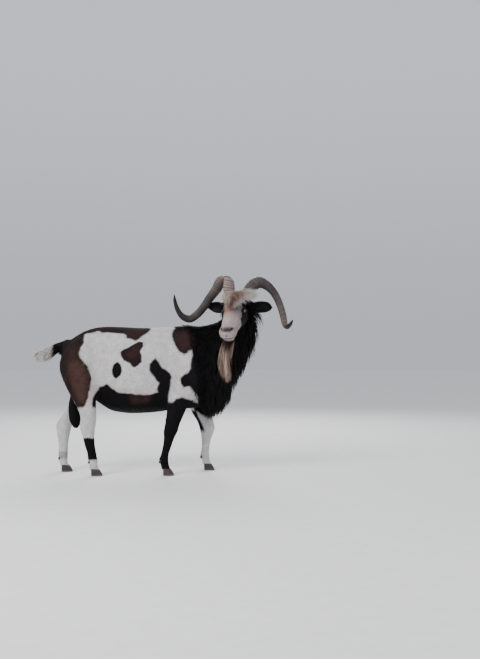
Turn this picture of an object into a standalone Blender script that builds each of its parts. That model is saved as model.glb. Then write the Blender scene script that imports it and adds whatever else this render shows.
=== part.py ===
"""A life-size standing pied goat buck, head turned to its right, made of named solid pieces.

Metres, +X towards the head end, +Y to the goat's left, +Z up. Places are first worked out
in the goat's own measuring frame, with x counted along the back from the middle of the trunk,
and the finished goat is then moved so that the origin is on the floor under its middle.
"""

import math
import random

import bmesh
import bpy
import numpy as np
from mathutils import Matrix, Vector
from mathutils.bvhtree import BVHTree

OBJECT_NAME = "tauern_pied_goat"

# Driving sizes
GAP = 0.0003  # clearance between pieces that touch
LOCK_GAP = 0.00024  # clearance of a lock from what it hangs over, less than the gap beside it
FLOOR = 0.0
HOOF_TOP = 0.042
FLESH_VOXEL = 0.0085
FLESH_FACES = 2500

# Trunk, from the rump to the breast: x, top, bottom, half width, level of the greatest width
TRUNK = (
    (-0.478, 0.655, 0.590, 0.026, 0.622),
    (-0.458, 0.695, 0.530, 0.060, 0.612),
    (-0.410, 0.738, 0.475, 0.088, 0.605),
    (-0.350, 0.772, 0.430, 0.106, 0.600),
    (-0.290, 0.791, 0.388, 0.120, 0.590),
    (-0.220, 0.797, 0.345, 0.136, 0.570),
    (-0.140, 0.795, 0.326, 0.151, 0.550),
    (-0.050, 0.791, 0.323, 0.160, 0.540),
    (0.040, 0.792, 0.329, 0.158, 0.540),
    (0.110, 0.797, 0.338, 0.150, 0.545),
    (0.180, 0.801, 0.343, 0.139, 0.555),
    (0.250, 0.795, 0.350, 0.126, 0.560),
    (0.330, 0.760, 0.366, 0.110, 0.560),
    (0.395, 0.700, 0.410, 0.086, 0.550),
    (0.432, 0.630, 0.470, 0.045, 0.540),
)
# Neck, from the shoulders to the skull: x, y, z, slope in degrees, depths to the crest and the
# throat, half width
NECK = (
    (0.180, 0.000, 0.600, 20.0, 0.190, 0.195, 0.110),
    (0.290, 0.000, 0.635, 34.0, 0.172, 0.200, 0.098),
    (0.375, -0.004, 0.700, 47.0, 0.140, 0.156, 0.082),
    (0.435, -0.020, 0.775, 58.0, 0.108, 0.118, 0.072),
    (0.470, -0.048, 0.845, 68.0, 0.086, 0.094, 0.066),
    (0.478, -0.080, 0.895, 74.0, 0.064, 0.084, 0.058),
)
# Legs, from the top down: x, height, distance from the middle plane, half length, half width
FORELEG_RIGHT = (
    (0.150, 0.735, 0.060, 0.040, 0.028),
    (0.168, 0.690, 0.080, 0.062, 0.038),
    (0.192, 0.620, 0.097, 0.080, 0.044),
    (0.213, 0.550, 0.105, 0.088, 0.048),
    (0.205, 0.480, 0.105, 0.085, 0.048),
    (0.175, 0.420, 0.103, 0.076, 0.044),
    (0.150, 0.365, 0.101, 0.058, 0.039),
    (0.134, 0.310, 0.100, 0.046, 0.035),
    (0.121, 0.265, 0.100, 0.039, 0.032),
    (0.114, 0.235, 0.100, 0.038, 0.033),
    (0.106, 0.200, 0.100, 0.029, 0.027),
    (0.094, 0.150, 0.100, 0.023, 0.021),
    (0.083, 0.110, 0.100, 0.021, 0.020),
    (0.077, 0.080, 0.100, 0.025, 0.023),
    (0.083, 0.056, 0.100, 0.022, 0.022),
    (0.090, 0.030, 0.100, 0.024, 0.024),
)
FORELEG_LEFT = (
    (0.158, 0.735, 0.060, 0.040, 0.028),
    (0.178, 0.690, 0.080, 0.062, 0.038),
    (0.207, 0.620, 0.097, 0.080, 0.044),
    (0.234, 0.550, 0.105, 0.088, 0.048),
    (0.241, 0.480, 0.105, 0.085, 0.048),
    (0.246, 0.420, 0.103, 0.074, 0.044),
    (0.266, 0.365, 0.101, 0.060, 0.039),
    (0.288, 0.310, 0.100, 0.052, 0.036),
    (0.309, 0.265, 0.100, 0.045, 0.034),
    (0.317, 0.235, 0.100, 0.043, 0.034),
    (0.316, 0.200, 0.100, 0.034, 0.028),
    (0.311, 0.150, 0.100, 0.024, 0.022),
    (0.307, 0.110, 0.100, 0.022, 0.021),
    (0.304, 0.080, 0.100, 0.025, 0.023),
    (0.310, 0.056, 0.100, 0.022, 0.022),
    (0.317, 0.030, 0.100, 0.024, 0.024),
)
HINDLEG_RIGHT = (
    (-0.330, 0.735, 0.050, 0.060, 0.030),
    (-0.352, 0.690, 0.078, 0.085, 0.042),
    (-0.376, 0.630, 0.092, 0.096, 0.050),
    (-0.380, 0.570, 0.098, 0.098, 0.053),
    (-0.368, 0.510, 0.098, 0.093, 0.053),
    (-0.352, 0.450, 0.096, 0.082, 0.049),
    (-0.341, 0.400, 0.094, 0.067, 0.043),
    (-0.328, 0.350, 0.092, 0.051, 0.037),
    (-0.321, 0.305, 0.091, 0.043, 0.032),
    (-0.325, 0.268, 0.090, 0.042, 0.030),
    (-0.325, 0.240, 0.090, 0.038, 0.030),
    (-0.320, 0.205, 0.090, 0.031, 0.027),
    (-0.313, 0.160, 0.090, 0.027, 0.024),
    (-0.303, 0.120, 0.090, 0.024, 0.022),
    (-0.297, 0.080, 0.090, 0.025, 0.023),
    (-0.294, 0.056, 0.090, 0.022, 0.022),
    (-0.289, 0.030, 0.090, 0.024, 0.024),
)
HINDLEG_LEFT = (
    (-0.330, 0.735, 0.050, 0.060, 0.030),
    (-0.352, 0.690, 0.078, 0.085, 0.042),
    (-0.376, 0.630, 0.092, 0.096, 0.050),
    (-0.380, 0.570, 0.098, 0.098, 0.053),
    (-0.368, 0.510, 0.098, 0.093, 0.053),
    (-0.358, 0.455, 0.096, 0.082, 0.049),
    (-0.366, 0.405, 0.094, 0.066, 0.043),
    (-0.395, 0.360, 0.092, 0.054, 0.037),
    (-0.428, 0.315, 0.091, 0.046, 0.031),
    (-0.454, 0.280, 0.090, 0.045, 0.030),
    (-0.468, 0.250, 0.090, 0.043, 0.030),
    (-0.470, 0.215, 0.090, 0.037, 0.028),
    (-0.471, 0.170, 0.090, 0.029, 0.024),
    (-0.471, 0.120, 0.090, 0.025, 0.022),
    (-0.472, 0.080, 0.090, 0.026, 0.023),
    (-0.470, 0.056, 0.090, 0.022, 0.022),
    (-0.463, 0.030, 0.090, 0.024, 0.024),
)
# Scrotum and tail, in the same terms as a leg and as a path with radii
SCROTUM = (
    (-0.388, 0.470, 0.0, 0.026, 0.026),
    (-0.396, 0.425, 0.0, 0.033, 0.033),
    (-0.402, 0.370, 0.0, 0.037, 0.037),
    (-0.401, 0.320, 0.0, 0.036, 0.036),
    (-0.397, 0.275, 0.0, 0.029, 0.031),
    (-0.395, 0.245, 0.0, 0.012, 0.014),
)
TAIL = (  # x, z, half height, half width
    (-0.430, 0.703, 0.030, 0.036),
    (-0.470, 0.690, 0.027, 0.032),
    (-0.510, 0.668, 0.026, 0.030),
    (-0.543, 0.653, 0.025, 0.028),
    (-0.570, 0.649, 0.020, 0.022),
    (-0.592, 0.653, 0.008, 0.010),
)
TAIL_LOCKS = 16
TAIL_LOCK = (0.056, 0.026, 0.009)  # length, width, thickness
# Heights where the legs are parted from the trunk
FORELEG_TOP = 0.49
HINDLEG_TOP = 0.60
# Where the neck and the tail are parted from the trunk: a point of the cut, and its normal
NECK_CUT = ((0.285, 0.0, 0.640), (0.990, 0.0, 0.141))
TAIL_CUT = ((-0.470, 0.0, 0.700), (-0.989, 0.0, 0.148))
# Beard: its core, from the chin down, in the same terms as a leg, then its locks
BEARD_CORE = (
    (0.426, 0.742, 0.222, 0.018, 0.018),
    (0.419, 0.705, 0.227, 0.030, 0.022),
    (0.416, 0.665, 0.228, 0.028, 0.018),
    (0.416, 0.630, 0.227, 0.012, 0.008),
)
BEARD_LOCKS = 12
BEARD_LOCK = (0.215, 0.027, 0.010)
FORELOCK_CORE = (0.060, 0.036, 0.030)  # half sizes across the brow, along the face, out of it
FORELOCK = (0.018, 0.012, 0.084)
FORELOCK_LOCKS = 12
FORELOCK_LOCK = (0.138, 0.050, 0.016)
# Neck hair: rows of locks from the throat down to the chest, and how many stand in each row
NECK_ROWS = 7
NECK_ROW_LOCKS = 7
NECK_LOCK = (0.152, 0.062, 0.012)
NECK_LOCK_RISE = (0.026, 0.046)  # height of the tips over the core at the sides and at the throat
SHOULDER_LOCK_RISE = 0.45  # share of that height over the shoulders
SHOULDER_ROWS = 0.4  # share of the rows that lie there
NECK_HAIR_FROM = 58.0  # degrees from the crest
LOCK_SINK = 0.013  # depth of a lock's root under the surface it grows from

# Head: where the back of the skull is, how far the face turns from square-on and dips
POLL = (0.488, -0.050, 0.918)
HEAD_TURN = math.radians(23.0)
HEAD_DIP = math.radians(38.0)
# Head, from the poll to the lips: distance along, height above and depth below the axis, half width
HEAD = (
    (0.000, 0.018, 0.018, 0.020),
    (0.012, 0.044, 0.040, 0.046),
    (0.040, 0.060, 0.056, 0.062),
    (0.075, 0.065, 0.070, 0.070),
    (0.105, 0.061, 0.080, 0.071),
    (0.135, 0.054, 0.079, 0.063),
    (0.163, 0.047, 0.071, 0.053),
    (0.190, 0.042, 0.062, 0.047),
    (0.217, 0.040, 0.055, 0.045),
    (0.243, 0.038, 0.053, 0.047),
    (0.264, 0.034, 0.051, 0.047),
    (0.280, 0.024, 0.041, 0.038),
    (0.289, 0.010, 0.022, 0.021),
)
HEAD_RINGS = 23
HEAD_AROUND = 22
EYE_RADIUS = 0.0148
EYE = (0.108, 0.0530, 0.029)  # along, to the side, above the head's axis
LID_THICK = 0.0024
NOSTRIL = (0.268, 0.0210, 0.0265)
NOSTRIL_RADII = (0.0110, 0.0058, 0.0120)  # up the nose, across the slit, into it
MOUTH_CORNER = 0.214  # along the head
MOUTH_FRONT = 0.288
MOUTH_HALF_WIDTH = 0.0435
MOUTH_REACH = 0.0085
EAR_BASE = (0.040, 0.058, 0.002)
EAR_LENGTH = 0.138
EAR_HALF_WIDTH = 0.033
EAR_THICK = 0.0034

# Horn centrelines, from root to tip: x, y, z
HORN_RIGHT = (
    (0.437, -0.096, 0.892),
    (0.441, -0.094, 0.925),
    (0.448, -0.088, 0.992),
    (0.436, -0.074, 1.042),
    (0.400, -0.050, 1.030),
    (0.360, -0.026, 0.984),
    (0.324, -0.006, 0.935),
    (0.293, 0.006, 0.890),
    (0.258, 0.008, 0.856),
    (0.217, -0.002, 0.834),
    (0.180, -0.022, 0.845),
    (0.149, -0.050, 0.884),
    (0.134, -0.072, 0.930),
    (0.130, -0.086, 0.965),
)
HORN_LEFT = (
    (0.496, -0.121, 0.895),
    (0.506, -0.116, 0.925),
    (0.524, -0.108, 0.975),
    (0.551, -0.092, 1.014),
    (0.591, -0.070, 1.034),
    (0.634, -0.048, 1.018),
    (0.670, -0.034, 0.985),
    (0.696, -0.027, 0.942),
    (0.714, -0.030, 0.895),
    (0.726, -0.040, 0.846),
    (0.731, -0.062, 0.806),
    (0.736, -0.096, 0.790),
    (0.748, -0.130, 0.802),
    (0.763, -0.152, 0.830),
)
# Horn half depth and half thickness at shares of its length
HORN_TAPER = (
    (0.00, 0.0260, 0.0190),
    (0.07, 0.0285, 0.0200),
    (0.16, 0.0325, 0.0210),
    (0.30, 0.0305, 0.0195),
    (0.45, 0.0240, 0.0165),
    (0.60, 0.0215, 0.0160),
    (0.75, 0.0195, 0.0145),
    (0.88, 0.0130, 0.0095),
    (0.95, 0.0080, 0.0062),
    (1.00, 0.0016, 0.0016),
)
HORN_RINGS = 15
# Side, its word, the centreline and the roll of the broad side in degrees
HORN_PLAN = ((-1, "right", HORN_RIGHT, 38.0), (1, "left", HORN_LEFT, 5.0))

COLOURS = {
    "coat_dark": (0.030, 0.022, 0.020),
    "coat_white": (0.72, 0.69, 0.66),
    "coat_cream": (0.62, 0.50, 0.38),
    "horn": (0.17, 0.13, 0.11),
    "hoof": (0.07, 0.055, 0.045),
    "eye": (0.32, 0.20, 0.05),
}


def clear_scene():
    """Removes whatever the file opened with."""
    for obj in list(bpy.data.objects):
        bpy.data.objects.remove(obj)


def material(name, roughness=0.7):
    """The Principled material of that name, made once."""
    found = bpy.data.materials.get(name)
    if found:
        return found
    made = bpy.data.materials.new(name)
    made.use_nodes = True
    shader = made.node_tree.nodes["Principled BSDF"]
    shader.inputs["Base Color"].default_value = (*COLOURS[name], 1.0)
    shader.inputs["Roughness"].default_value = roughness
    shader.inputs["Metallic"].default_value = 0.0
    return made


def resampled(rows, count, places):
    """The rows on a smooth spline, count of them evenly spaced by the distance in the place columns."""
    rows = np.asarray(rows, float)
    steps = np.linalg.norm(np.diff(rows[:, places], axis=0), axis=1)
    knots = np.concatenate([[0.0], np.cumsum(steps)])
    slopes = np.gradient(rows, knots, axis=0)
    t = np.linspace(0.0, knots[-1], count)
    i = np.clip(np.searchsorted(knots, t, side="right") - 1, 0, len(rows) - 2)
    span = (knots[i + 1] - knots[i])[:, None]
    u = ((t - knots[i])[:, None]) / span
    return (
        (2 * u**3 - 3 * u**2 + 1) * rows[i]
        + (u**3 - 2 * u**2 + u) * span * slopes[i]
        + (3 * u**2 - 2 * u**3) * rows[i + 1]
        + (u**3 - u**2) * span * slopes[i + 1]
    )


def object_from(name, points, faces):
    """A mesh object of these points and faces, with its faces pointing out."""
    mesh = bpy.data.meshes.new(name)
    mesh.from_pydata(np.asarray(points).tolist(), [], [list(map(int, f)) for f in faces])
    shell = bmesh.new()
    shell.from_mesh(mesh)
    bmesh.ops.recalc_face_normals(shell, faces=shell.faces)
    shell.to_mesh(mesh)
    shell.free()
    obj = bpy.data.objects.new(name, mesh)
    bpy.context.scene.collection.objects.link(obj)
    return obj


def loft(name, centres, up, down, side, around, square=1.0):
    """A closed skin over rings round a path.

    A ring's points are centre + up or down * cos(turn) + side * sin(turn), with the cosine and
    the sine raised to the power square, and each end is closed by a fan to its centre.
    """
    centres, up, down, side = (np.asarray(a, float) for a in (centres, up, down, side))
    turn = np.arange(around) * 2 * math.pi / around
    c, s = np.cos(turn), np.sin(turn)
    c = np.sign(c) * np.abs(c) ** square
    s = np.sign(s) * np.abs(s) ** square
    rise = np.where(c[None, :, None] > 0, up[:, None, :], down[:, None, :])
    rings = centres[:, None, :] + rise * c[None, :, None] + side[:, None, :] * s[None, :, None]
    count = len(centres)
    points = np.concatenate([rings.reshape(-1, 3), centres[:1], centres[-1:]])
    first, last = count * around, count * around + 1
    faces = []
    for i in range(around):
        j = (i + 1) % around
        for k in range(count - 1):
            faces.append((k * around + i, k * around + j, (k + 1) * around + j, (k + 1) * around + i))
        faces.append((first, j, i))
        faces.append((last, (count - 1) * around + i, (count - 1) * around + j))
    return object_from(name, points, faces)


def level_loft(name, rows, side, count, around):
    """A leg-like skin of level ellipses. side is 1 for the goat's left, -1 for its right."""
    fine = resampled(rows, count, [0, 1])
    zero = np.zeros(len(fine))
    centres = np.stack([fine[:, 0], side * fine[:, 2], fine[:, 1]], 1)
    length = np.stack([fine[:, 3], zero, zero], 1)
    width = np.stack([zero, fine[:, 4], zero], 1)
    return loft(name, centres, length, length, width, around)


def applied(obj):
    """Makes the object's modifiers part of its mesh."""
    graph = bpy.context.evaluated_depsgraph_get()
    mesh = bpy.data.meshes.new_from_object(obj.evaluated_get(graph))
    obj.modifiers.clear()
    obj.data = mesh
    return obj


def boolean(obj, others, operation, solver="EXACT"):
    """Joins or cuts obj with the other objects, which are then removed."""
    group = bpy.data.collections.new("cutters")
    bpy.context.scene.collection.children.link(group)
    for other in others:
        for home in list(other.users_collection):
            home.objects.unlink(other)
        other.hide_render = True
        other.display_type = "WIRE"
        group.objects.link(other)
    change = obj.modifiers.new(operation.lower(), "BOOLEAN")
    change.operation = operation
    change.operand_type = "COLLECTION"
    change.collection = group
    change.solver = solver
    applied(obj)
    for other in others:
        bpy.data.objects.remove(other)
    bpy.data.collections.remove(group)
    return obj


def grown_copy(obj, distance=GAP):
    """A copy of obj with its surface moved out by the distance."""
    copy = bpy.data.objects.new(obj.name + "_grown", obj.data.copy())
    bpy.context.scene.collection.objects.link(copy)
    swell = copy.modifiers.new("swell", "DISPLACE")
    swell.strength = distance
    swell.mid_level = 0.0
    return applied(copy)


def keep_largest(obj):
    """Leaves only the object's largest closed surface, merged and in triangles."""
    shell = bmesh.new()
    shell.from_mesh(obj.data)
    bmesh.ops.remove_doubles(shell, verts=shell.verts, dist=1e-6)
    bmesh.ops.dissolve_degenerate(shell, edges=shell.edges, dist=1e-5)
    bmesh.ops.triangulate(shell, faces=shell.faces)
    left, islands = set(shell.verts), []
    while left:
        island, edge = set(), [left.pop()]
        while edge:
            vert = edge.pop()
            island.add(vert)
            near = {e.other_vert(vert) for e in vert.link_edges} & left
            left -= near
            edge.extend(near)
        islands.append(island)
    islands.sort(key=len)
    loose = [v for island in islands[:-1] for v in island]
    bmesh.ops.delete(shell, geom=loose, context="VERTS")
    shell.to_mesh(obj.data)
    shell.free()
    return obj


def joined(name, pieces):
    """The objects' meshes side by side in one object, which takes their place."""
    shell = bmesh.new()
    for piece in pieces:
        shell.from_mesh(piece.data)
        bpy.data.objects.remove(piece)
    mesh = bpy.data.meshes.new(name)
    shell.to_mesh(mesh)
    shell.free()
    obj = bpy.data.objects.new(name, mesh)
    bpy.context.scene.collection.objects.link(obj)
    return obj


def trunk_core():
    """The barrel from the rump to the breast, on upright rings."""
    fine = resampled(TRUNK, 34, [0])
    zero = np.zeros(len(fine))
    centres = np.stack([fine[:, 0], zero, fine[:, 4]], 1)
    up = np.stack([zero, zero, fine[:, 1] - fine[:, 4]], 1)
    down = np.stack([zero, zero, fine[:, 4] - fine[:, 2]], 1)
    side = np.stack([zero, fine[:, 3], zero], 1)
    return loft("trunk_core", centres, up, down, side, 32)


def neck_frame(count):
    """Centres of the neck's rings, and their half sizes to the crest, the throat and the side."""
    fine = resampled(NECK, count, [0, 1, 2])
    slope = np.radians(fine[:, 3])
    bend = np.gradient(fine[:, 1], fine[:, 2])
    rise = np.stack([-np.sin(slope), 0 * slope, np.cos(slope)], 1)
    side = np.stack([0.35 * bend, np.ones(len(fine)), 0 * bend], 1) * fine[:, 6:7]
    return fine[:, :3], rise * fine[:, 4:5], rise * fine[:, 5:6], side


def neck_core():
    """The neck from inside the shoulders to inside the skull."""
    return loft("neck_core", *neck_frame(16), 28)


def tail_core():
    """The dock of the tail, which runs back and turns up."""
    fine = resampled(TAIL, 12, [0, 1])
    zero = np.zeros(len(fine))
    centres = np.stack([fine[:, 0], zero, fine[:, 1]], 1)
    along = np.gradient(centres, axis=0)
    along /= np.linalg.norm(along, axis=1)[:, None]
    up = np.stack([along[:, 2], zero, -along[:, 0]], 1) * fine[:, 2:3]
    side = np.stack([zero, fine[:, 3], zero], 1)
    return loft("tail_core", centres, up, up, side, 12)


def flesh():
    """Trunk, neck, legs and tail as one body with soft joins, thinned to an even set of faces."""
    pieces = [trunk_core(), neck_core(), tail_core()]
    for name, rows, side in leg_plan():
        pieces.append(level_loft(name + "_core", rows, side, 44, 20))
    body = joined("flesh", pieces)
    skin = body.modifiers.new("skin", "REMESH")
    skin.mode = "VOXEL"
    skin.voxel_size = FLESH_VOXEL
    applied(body)
    soft = body.vertex_groups.new(name="soft")
    for vert in body.data.vertices:
        soft.add([vert.index], min(1.0, max(0.15, (vert.co.z - 0.28) / 0.12)), "REPLACE")
    ease = body.modifiers.new("ease", "SMOOTH")
    ease.factor = 0.5
    ease.iterations = 12
    ease.vertex_group = "soft"
    applied(body)
    thin = body.modifiers.new("thin", "DECIMATE")
    thin.ratio = FLESH_FACES / (2 * len(body.data.polygons))
    applied(body)
    return body


def leg_plan():
    """Name, rows and side of each leg."""
    return (
        ("foreleg_right", FORELEG_RIGHT, -1),
        ("foreleg_left", FORELEG_LEFT, 1),
        ("hindleg_right", HINDLEG_RIGHT, -1),
        ("hindleg_left", HINDLEG_LEFT, 1),
    )


def head_axes():
    """Unit vectors of the head: along the face to the lips, out of the forehead, to the goat's left."""
    along = Vector((
        -math.sin(HEAD_TURN) * math.cos(HEAD_DIP),
        -math.cos(HEAD_TURN) * math.cos(HEAD_DIP),
        -math.sin(HEAD_DIP),
    ))
    brow = Vector((
        -math.sin(HEAD_TURN) * math.sin(HEAD_DIP),
        -math.cos(HEAD_TURN) * math.sin(HEAD_DIP),
        math.cos(HEAD_DIP),
    ))
    return along, brow, brow.cross(along)


def on_head(along, side, above):
    """The place of a point given along, to the left of and above the head's axis."""
    forward, brow, left = head_axes()
    return Vector(POLL) + forward * along + left * side + brow * above


def head_core():
    """The skull, cheeks and muzzle as one loft, narrower below than above."""
    fine = resampled(HEAD, HEAD_RINGS, [0])
    forward, brow, left = (np.array(v) for v in head_axes())
    around = HEAD_AROUND
    turn = np.arange(around) * 2 * math.pi / around
    c, s = np.cos(turn), np.sin(turn)
    rise = np.sign(c) * np.abs(c) ** 0.92
    wide = np.sign(s) * np.abs(s) ** 0.92 * np.where(c < 0, 1 - 0.30 * np.abs(c) ** 1.3, 1.0)
    above = np.where(c[None, :] > 0, fine[:, 1:2], fine[:, 2:3]) * rise[None, :]
    out = fine[:, 3:4] * wide[None, :]
    rings = (
        np.array(POLL)
        + fine[:, 0, None, None] * forward
        + above[..., None] * brow
        + out[..., None] * left
    )
    ends = np.array([on_head(HEAD[0][0] - 0.004, 0, 0), on_head(HEAD[-1][0] + 0.003, 0, -0.002)])
    count = len(fine)
    points = np.concatenate([rings.reshape(-1, 3), ends])
    faces = []
    for i in range(around):
        j = (i + 1) % around
        for k in range(count - 1):
            faces.append((k * around + i, k * around + j, (k + 1) * around + j, (k + 1) * around + i))
        faces.append((count * around, j, i))
        faces.append((count * around + 1, (count - 1) * around + i, (count - 1) * around + j))
    return object_from("head", points, faces)


def ball(name, centre, radii, axes, around=12, tall=8):
    """An ellipsoid with its three half sizes along the three axes."""
    shell = bmesh.new()
    turn = Matrix([list(a) for a in axes]).transposed().to_4x4()
    place = Matrix.Translation(centre) @ turn @ Matrix.Diagonal((*radii, 1.0))
    bmesh.ops.create_uvsphere(shell, u_segments=around, v_segments=tall, radius=1.0, matrix=place)
    bmesh.ops.recalc_face_normals(shell, faces=shell.faces)
    mesh = bpy.data.meshes.new(name)
    shell.to_mesh(mesh)
    shell.free()
    obj = bpy.data.objects.new(name, mesh)
    bpy.context.scene.collection.objects.link(obj)
    return obj


def eye_axes(side):
    """Unit vectors of an eye: outwards, corner to corner and upwards."""
    forward, brow, left = head_axes()
    out = (left * side * 0.86 + forward * 0.28 + brow * 0.42).normalized()
    corner = (forward - out * forward.dot(out)).normalized()
    return out, corner, out.cross(corner) * side


def eye_place(side):
    """The centre of an eyeball."""
    return on_head(EYE[0], side * EYE[1], EYE[2])


def mouth_cutter():
    """A thin wedge along the line of the mouth, from corner to corner round the muzzle."""
    forward, brow, left = head_axes()
    turn = np.linspace(-0.5 * math.pi, 0.5 * math.pi, 17)
    centres, out_ward = [], []
    for angle in turn:
        reach = math.cos(angle) ** 0.75
        along = MOUTH_CORNER + (MOUTH_FRONT - MOUTH_CORNER) * reach
        side = MOUTH_HALF_WIDTH * math.sin(angle)
        centres.append(on_head(along, side, -0.014 - 0.008 * (1 - reach)))
        outward = (forward * 0.55 * math.cos(angle) + left * math.sin(angle)).normalized()
        out_ward.append(outward * MOUTH_REACH)
    thick = [brow * 0.0018] * len(centres)
    return loft("mouth_cutter", centres, out_ward, out_ward, thick, 6)


def head():
    """The head with lids over its eyes, nostrils and a mouth."""
    body = head_core()
    lids, cuts = [], [mouth_cutter()]
    forward, brow, left = head_axes()
    for side in (-1, 1):
        centre = eye_place(side)
        out, corner, up = eye_axes(side)
        axes = (corner, up, out)
        thick = EYE_RADIUS + LID_THICK
        lids.append(ball("lid", centre, (thick * 1.12, thick, thick), axes, 14, 8))
        cuts.append(ball("slit", centre + out * 0.016, (0.0135, 0.0082, 0.016), axes, 14, 8))
        cuts.append(ball("socket", centre, (EYE_RADIUS + GAP,) * 3, axes, 14, 8))
        hole = on_head(NOSTRIL[0], side * NOSTRIL[1], NOSTRIL[2])
        slant = (left * side * 0.75 + forward * 0.45 + brow * 0.2).normalized()
        wing = (brow - slant * brow.dot(slant)).normalized()
        cuts.append(ball("nostril", hole, NOSTRIL_RADII, (wing, slant.cross(wing), slant), 10, 6))
    boolean(body, lids, "UNION")
    boolean(body, cuts, "DIFFERENCE")
    return keep_largest(body)


def horn(name, rows, roll):
    """A horn: a flattened, ringed taper along its centreline, its broad side rolled by an angle."""
    count = HORN_RINGS * 2 + 1
    centres = resampled(rows, count, [0, 1, 2])
    along = np.gradient(centres, axis=0)
    along /= np.linalg.norm(along, axis=1)[:, None]
    middle = centres[int(0.35 * count)] * 0.5 + centres[0] * 0.5
    radial = centres - middle
    plane = np.cross(along[: count // 2].mean(0), along[-count // 3])
    plane /= np.linalg.norm(plane)
    depth_way = [np.cross(along[0], plane)]
    if depth_way[0] @ radial[0] < 0:
        depth_way[0] = -depth_way[0]
    for step in along:
        carried = depth_way[-1] - step * (depth_way[-1] @ step)
        depth_way.append(carried / np.linalg.norm(carried))
    depth_way = np.array(depth_way[1:])
    thick_way = np.cross(along, depth_way)
    depth_way, thick_way = (
        depth_way * math.cos(roll) + thick_way * math.sin(roll),
        thick_way * math.cos(roll) - depth_way * math.sin(roll),
    )
    t = np.linspace(0.0, 1.0, count)
    share, half_depth, half_thick = np.array(HORN_TAPER).T
    ring = np.where(np.arange(count) % 2 == 0, 1.0, np.minimum(0.93 + 0.10 * t, 1.0))
    depth = depth_way * (np.interp(t, share, half_depth) * ring)[:, None]
    thick = thick_way * (np.interp(t, share, half_thick) * ring)[:, None]
    return loft(name, centres, depth, depth * 0.94, thick, 10)


def ear(name, side):
    """A leaf-shaped ear, rolled into a cup that is nearly closed at its root."""
    forward, brow, left = head_axes()
    base = on_head(EAR_BASE[0], side * EAR_BASE[1], EAR_BASE[2])
    out = (left * side * 0.90 - forward * 0.38 - brow * 0.10).normalized()
    mouth = (forward * 0.80 + brow * 0.35 - Vector((0, 0, 0.25))).normalized()
    mouth = (mouth - out * mouth.dot(out)).normalized()
    across = out.cross(mouth)
    rows, columns = 9, 6
    points, faces = [], []
    for i in range(rows):
        u = i / (rows - 1)
        width = EAR_HALF_WIDTH * (0.50 + 1.9 * u - 1.9 * u**2.2) * (1 - u**6) + 0.0015
        roll = math.radians(115 - 72 * u**0.7)
        radius = width / math.sin(min(roll, 0.5 * math.pi))
        sag = -0.018 * u**2
        for j in range(columns):
            v = 2 * j / (columns - 1) - 1
            place = base + out * (EAR_LENGTH * u) + Vector((0, 0, sag))
            place = place + across * (radius * math.sin(roll * v))
            points.append(place + mouth * (radius * (0.35 - math.cos(roll * v))))
    for i in range(rows - 1):
        for j in range(columns - 1):
            a = i * columns + j
            faces.append((a, a + 1, a + columns + 1, a + columns))
    leaf = object_from(name, points, faces)
    wall = leaf.modifiers.new("wall", "SOLIDIFY")
    wall.thickness = EAR_THICK
    wall.offset = 0.0
    return applied(leaf)


def hoof(name, rows, side):
    """A cloven hoof: two claws under a coronet band, flat on the floor."""
    x, y = rows[-1][0], side * rows[-1][2]
    claws = []
    for lean in (-1, 1):
        heights = np.array([HOOF_TOP - 0.006, 0.020, FLOOR])
        length = np.array([0.022, 0.026, 0.030])
        width = np.array([0.0115, 0.0125, 0.0120])
        forward = np.array([0.002, 0.006, 0.010])
        zero = np.zeros(3)
        middle = y + lean * 0.0137
        centres = np.stack([x + forward, zero + middle, heights], 1)
        toe = np.stack([length * 1.15, zero, zero], 1)
        heel = np.stack([length * 0.85, zero, zero], 1)
        wide = np.stack([zero, width, zero], 1)
        claws.append(loft("claw", centres, toe, heel, wide, 8, 0.9))
    heights = np.array([HOOF_TOP, HOOF_TOP - 0.008, HOOF_TOP - 0.014])
    zero = np.zeros(3)
    centres = np.stack([x + zero + 0.002, y + zero, heights], 1)
    length = np.stack([np.array([0.023, 0.026, 0.020]), zero, zero], 1)
    wide = np.stack([zero, np.array([0.024, 0.026, 0.020]), zero], 1)
    band = loft(name, centres, length, length, wide, 10)
    return keep_largest(boolean(band, claws, "UNION"))


def leg_region(rows, side, top, margin):
    """A closed tube that holds the part of a leg below the height top."""
    wide = [
        (r[0], r[1], r[2] + 0.012, r[3] + margin, r[4] + margin)
        for r in rows
        if r[1] <= top
    ]
    wide.append((rows[-1][0], -0.05, rows[-1][2] + 0.012, 0.06, 0.05))
    return level_loft("region", wide, side, 16, 16)


def slab(name, point, normal, size=1.2):
    """A big box whose one face passes through the point, square to the normal, on its near side."""
    shell = bmesh.new()
    turn = Vector(normal).to_track_quat("Z", "Y").to_matrix().to_4x4()
    middle = Vector(point) + Vector(normal).normalized() * size / 2
    bmesh.ops.create_cube(shell, size=size, matrix=Matrix.Translation(middle) @ turn)
    mesh = bpy.data.meshes.new(name)
    shell.to_mesh(mesh)
    shell.free()
    obj = bpy.data.objects.new(name, mesh)
    bpy.context.scene.collection.objects.link(obj)
    return obj


def copy_of(obj, name):
    """A copy of the object with its own mesh."""
    copy = bpy.data.objects.new(name, obj.data.copy())
    bpy.context.scene.collection.objects.link(copy)
    return copy


def finished(obj, look, roughness=0.7):
    """Gives the node its material and smooth shading."""
    obj.data.materials.clear()
    obj.data.materials.append(material(look, roughness))
    obj.data.shade_smooth()
    obj.data.set_sharp_from_angle(angle=math.radians(50))
    return obj


def parted(body, name, region, grown):
    """The share of the body inside the region as a new node, and the body without it."""
    part = boolean(copy_of(body, name), [region], "INTERSECT")
    boolean(body, [grown], "DIFFERENCE")
    return keep_largest(part)


def gathered(nodes):
    """Moves the finished nodes to the collection that is named for the goat."""
    home = bpy.data.collections.new(OBJECT_NAME)
    bpy.context.scene.collection.children.link(home)
    for node in nodes:
        for old in list(node.users_collection):
            old.objects.unlink(node)
        home.objects.link(node)


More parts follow.
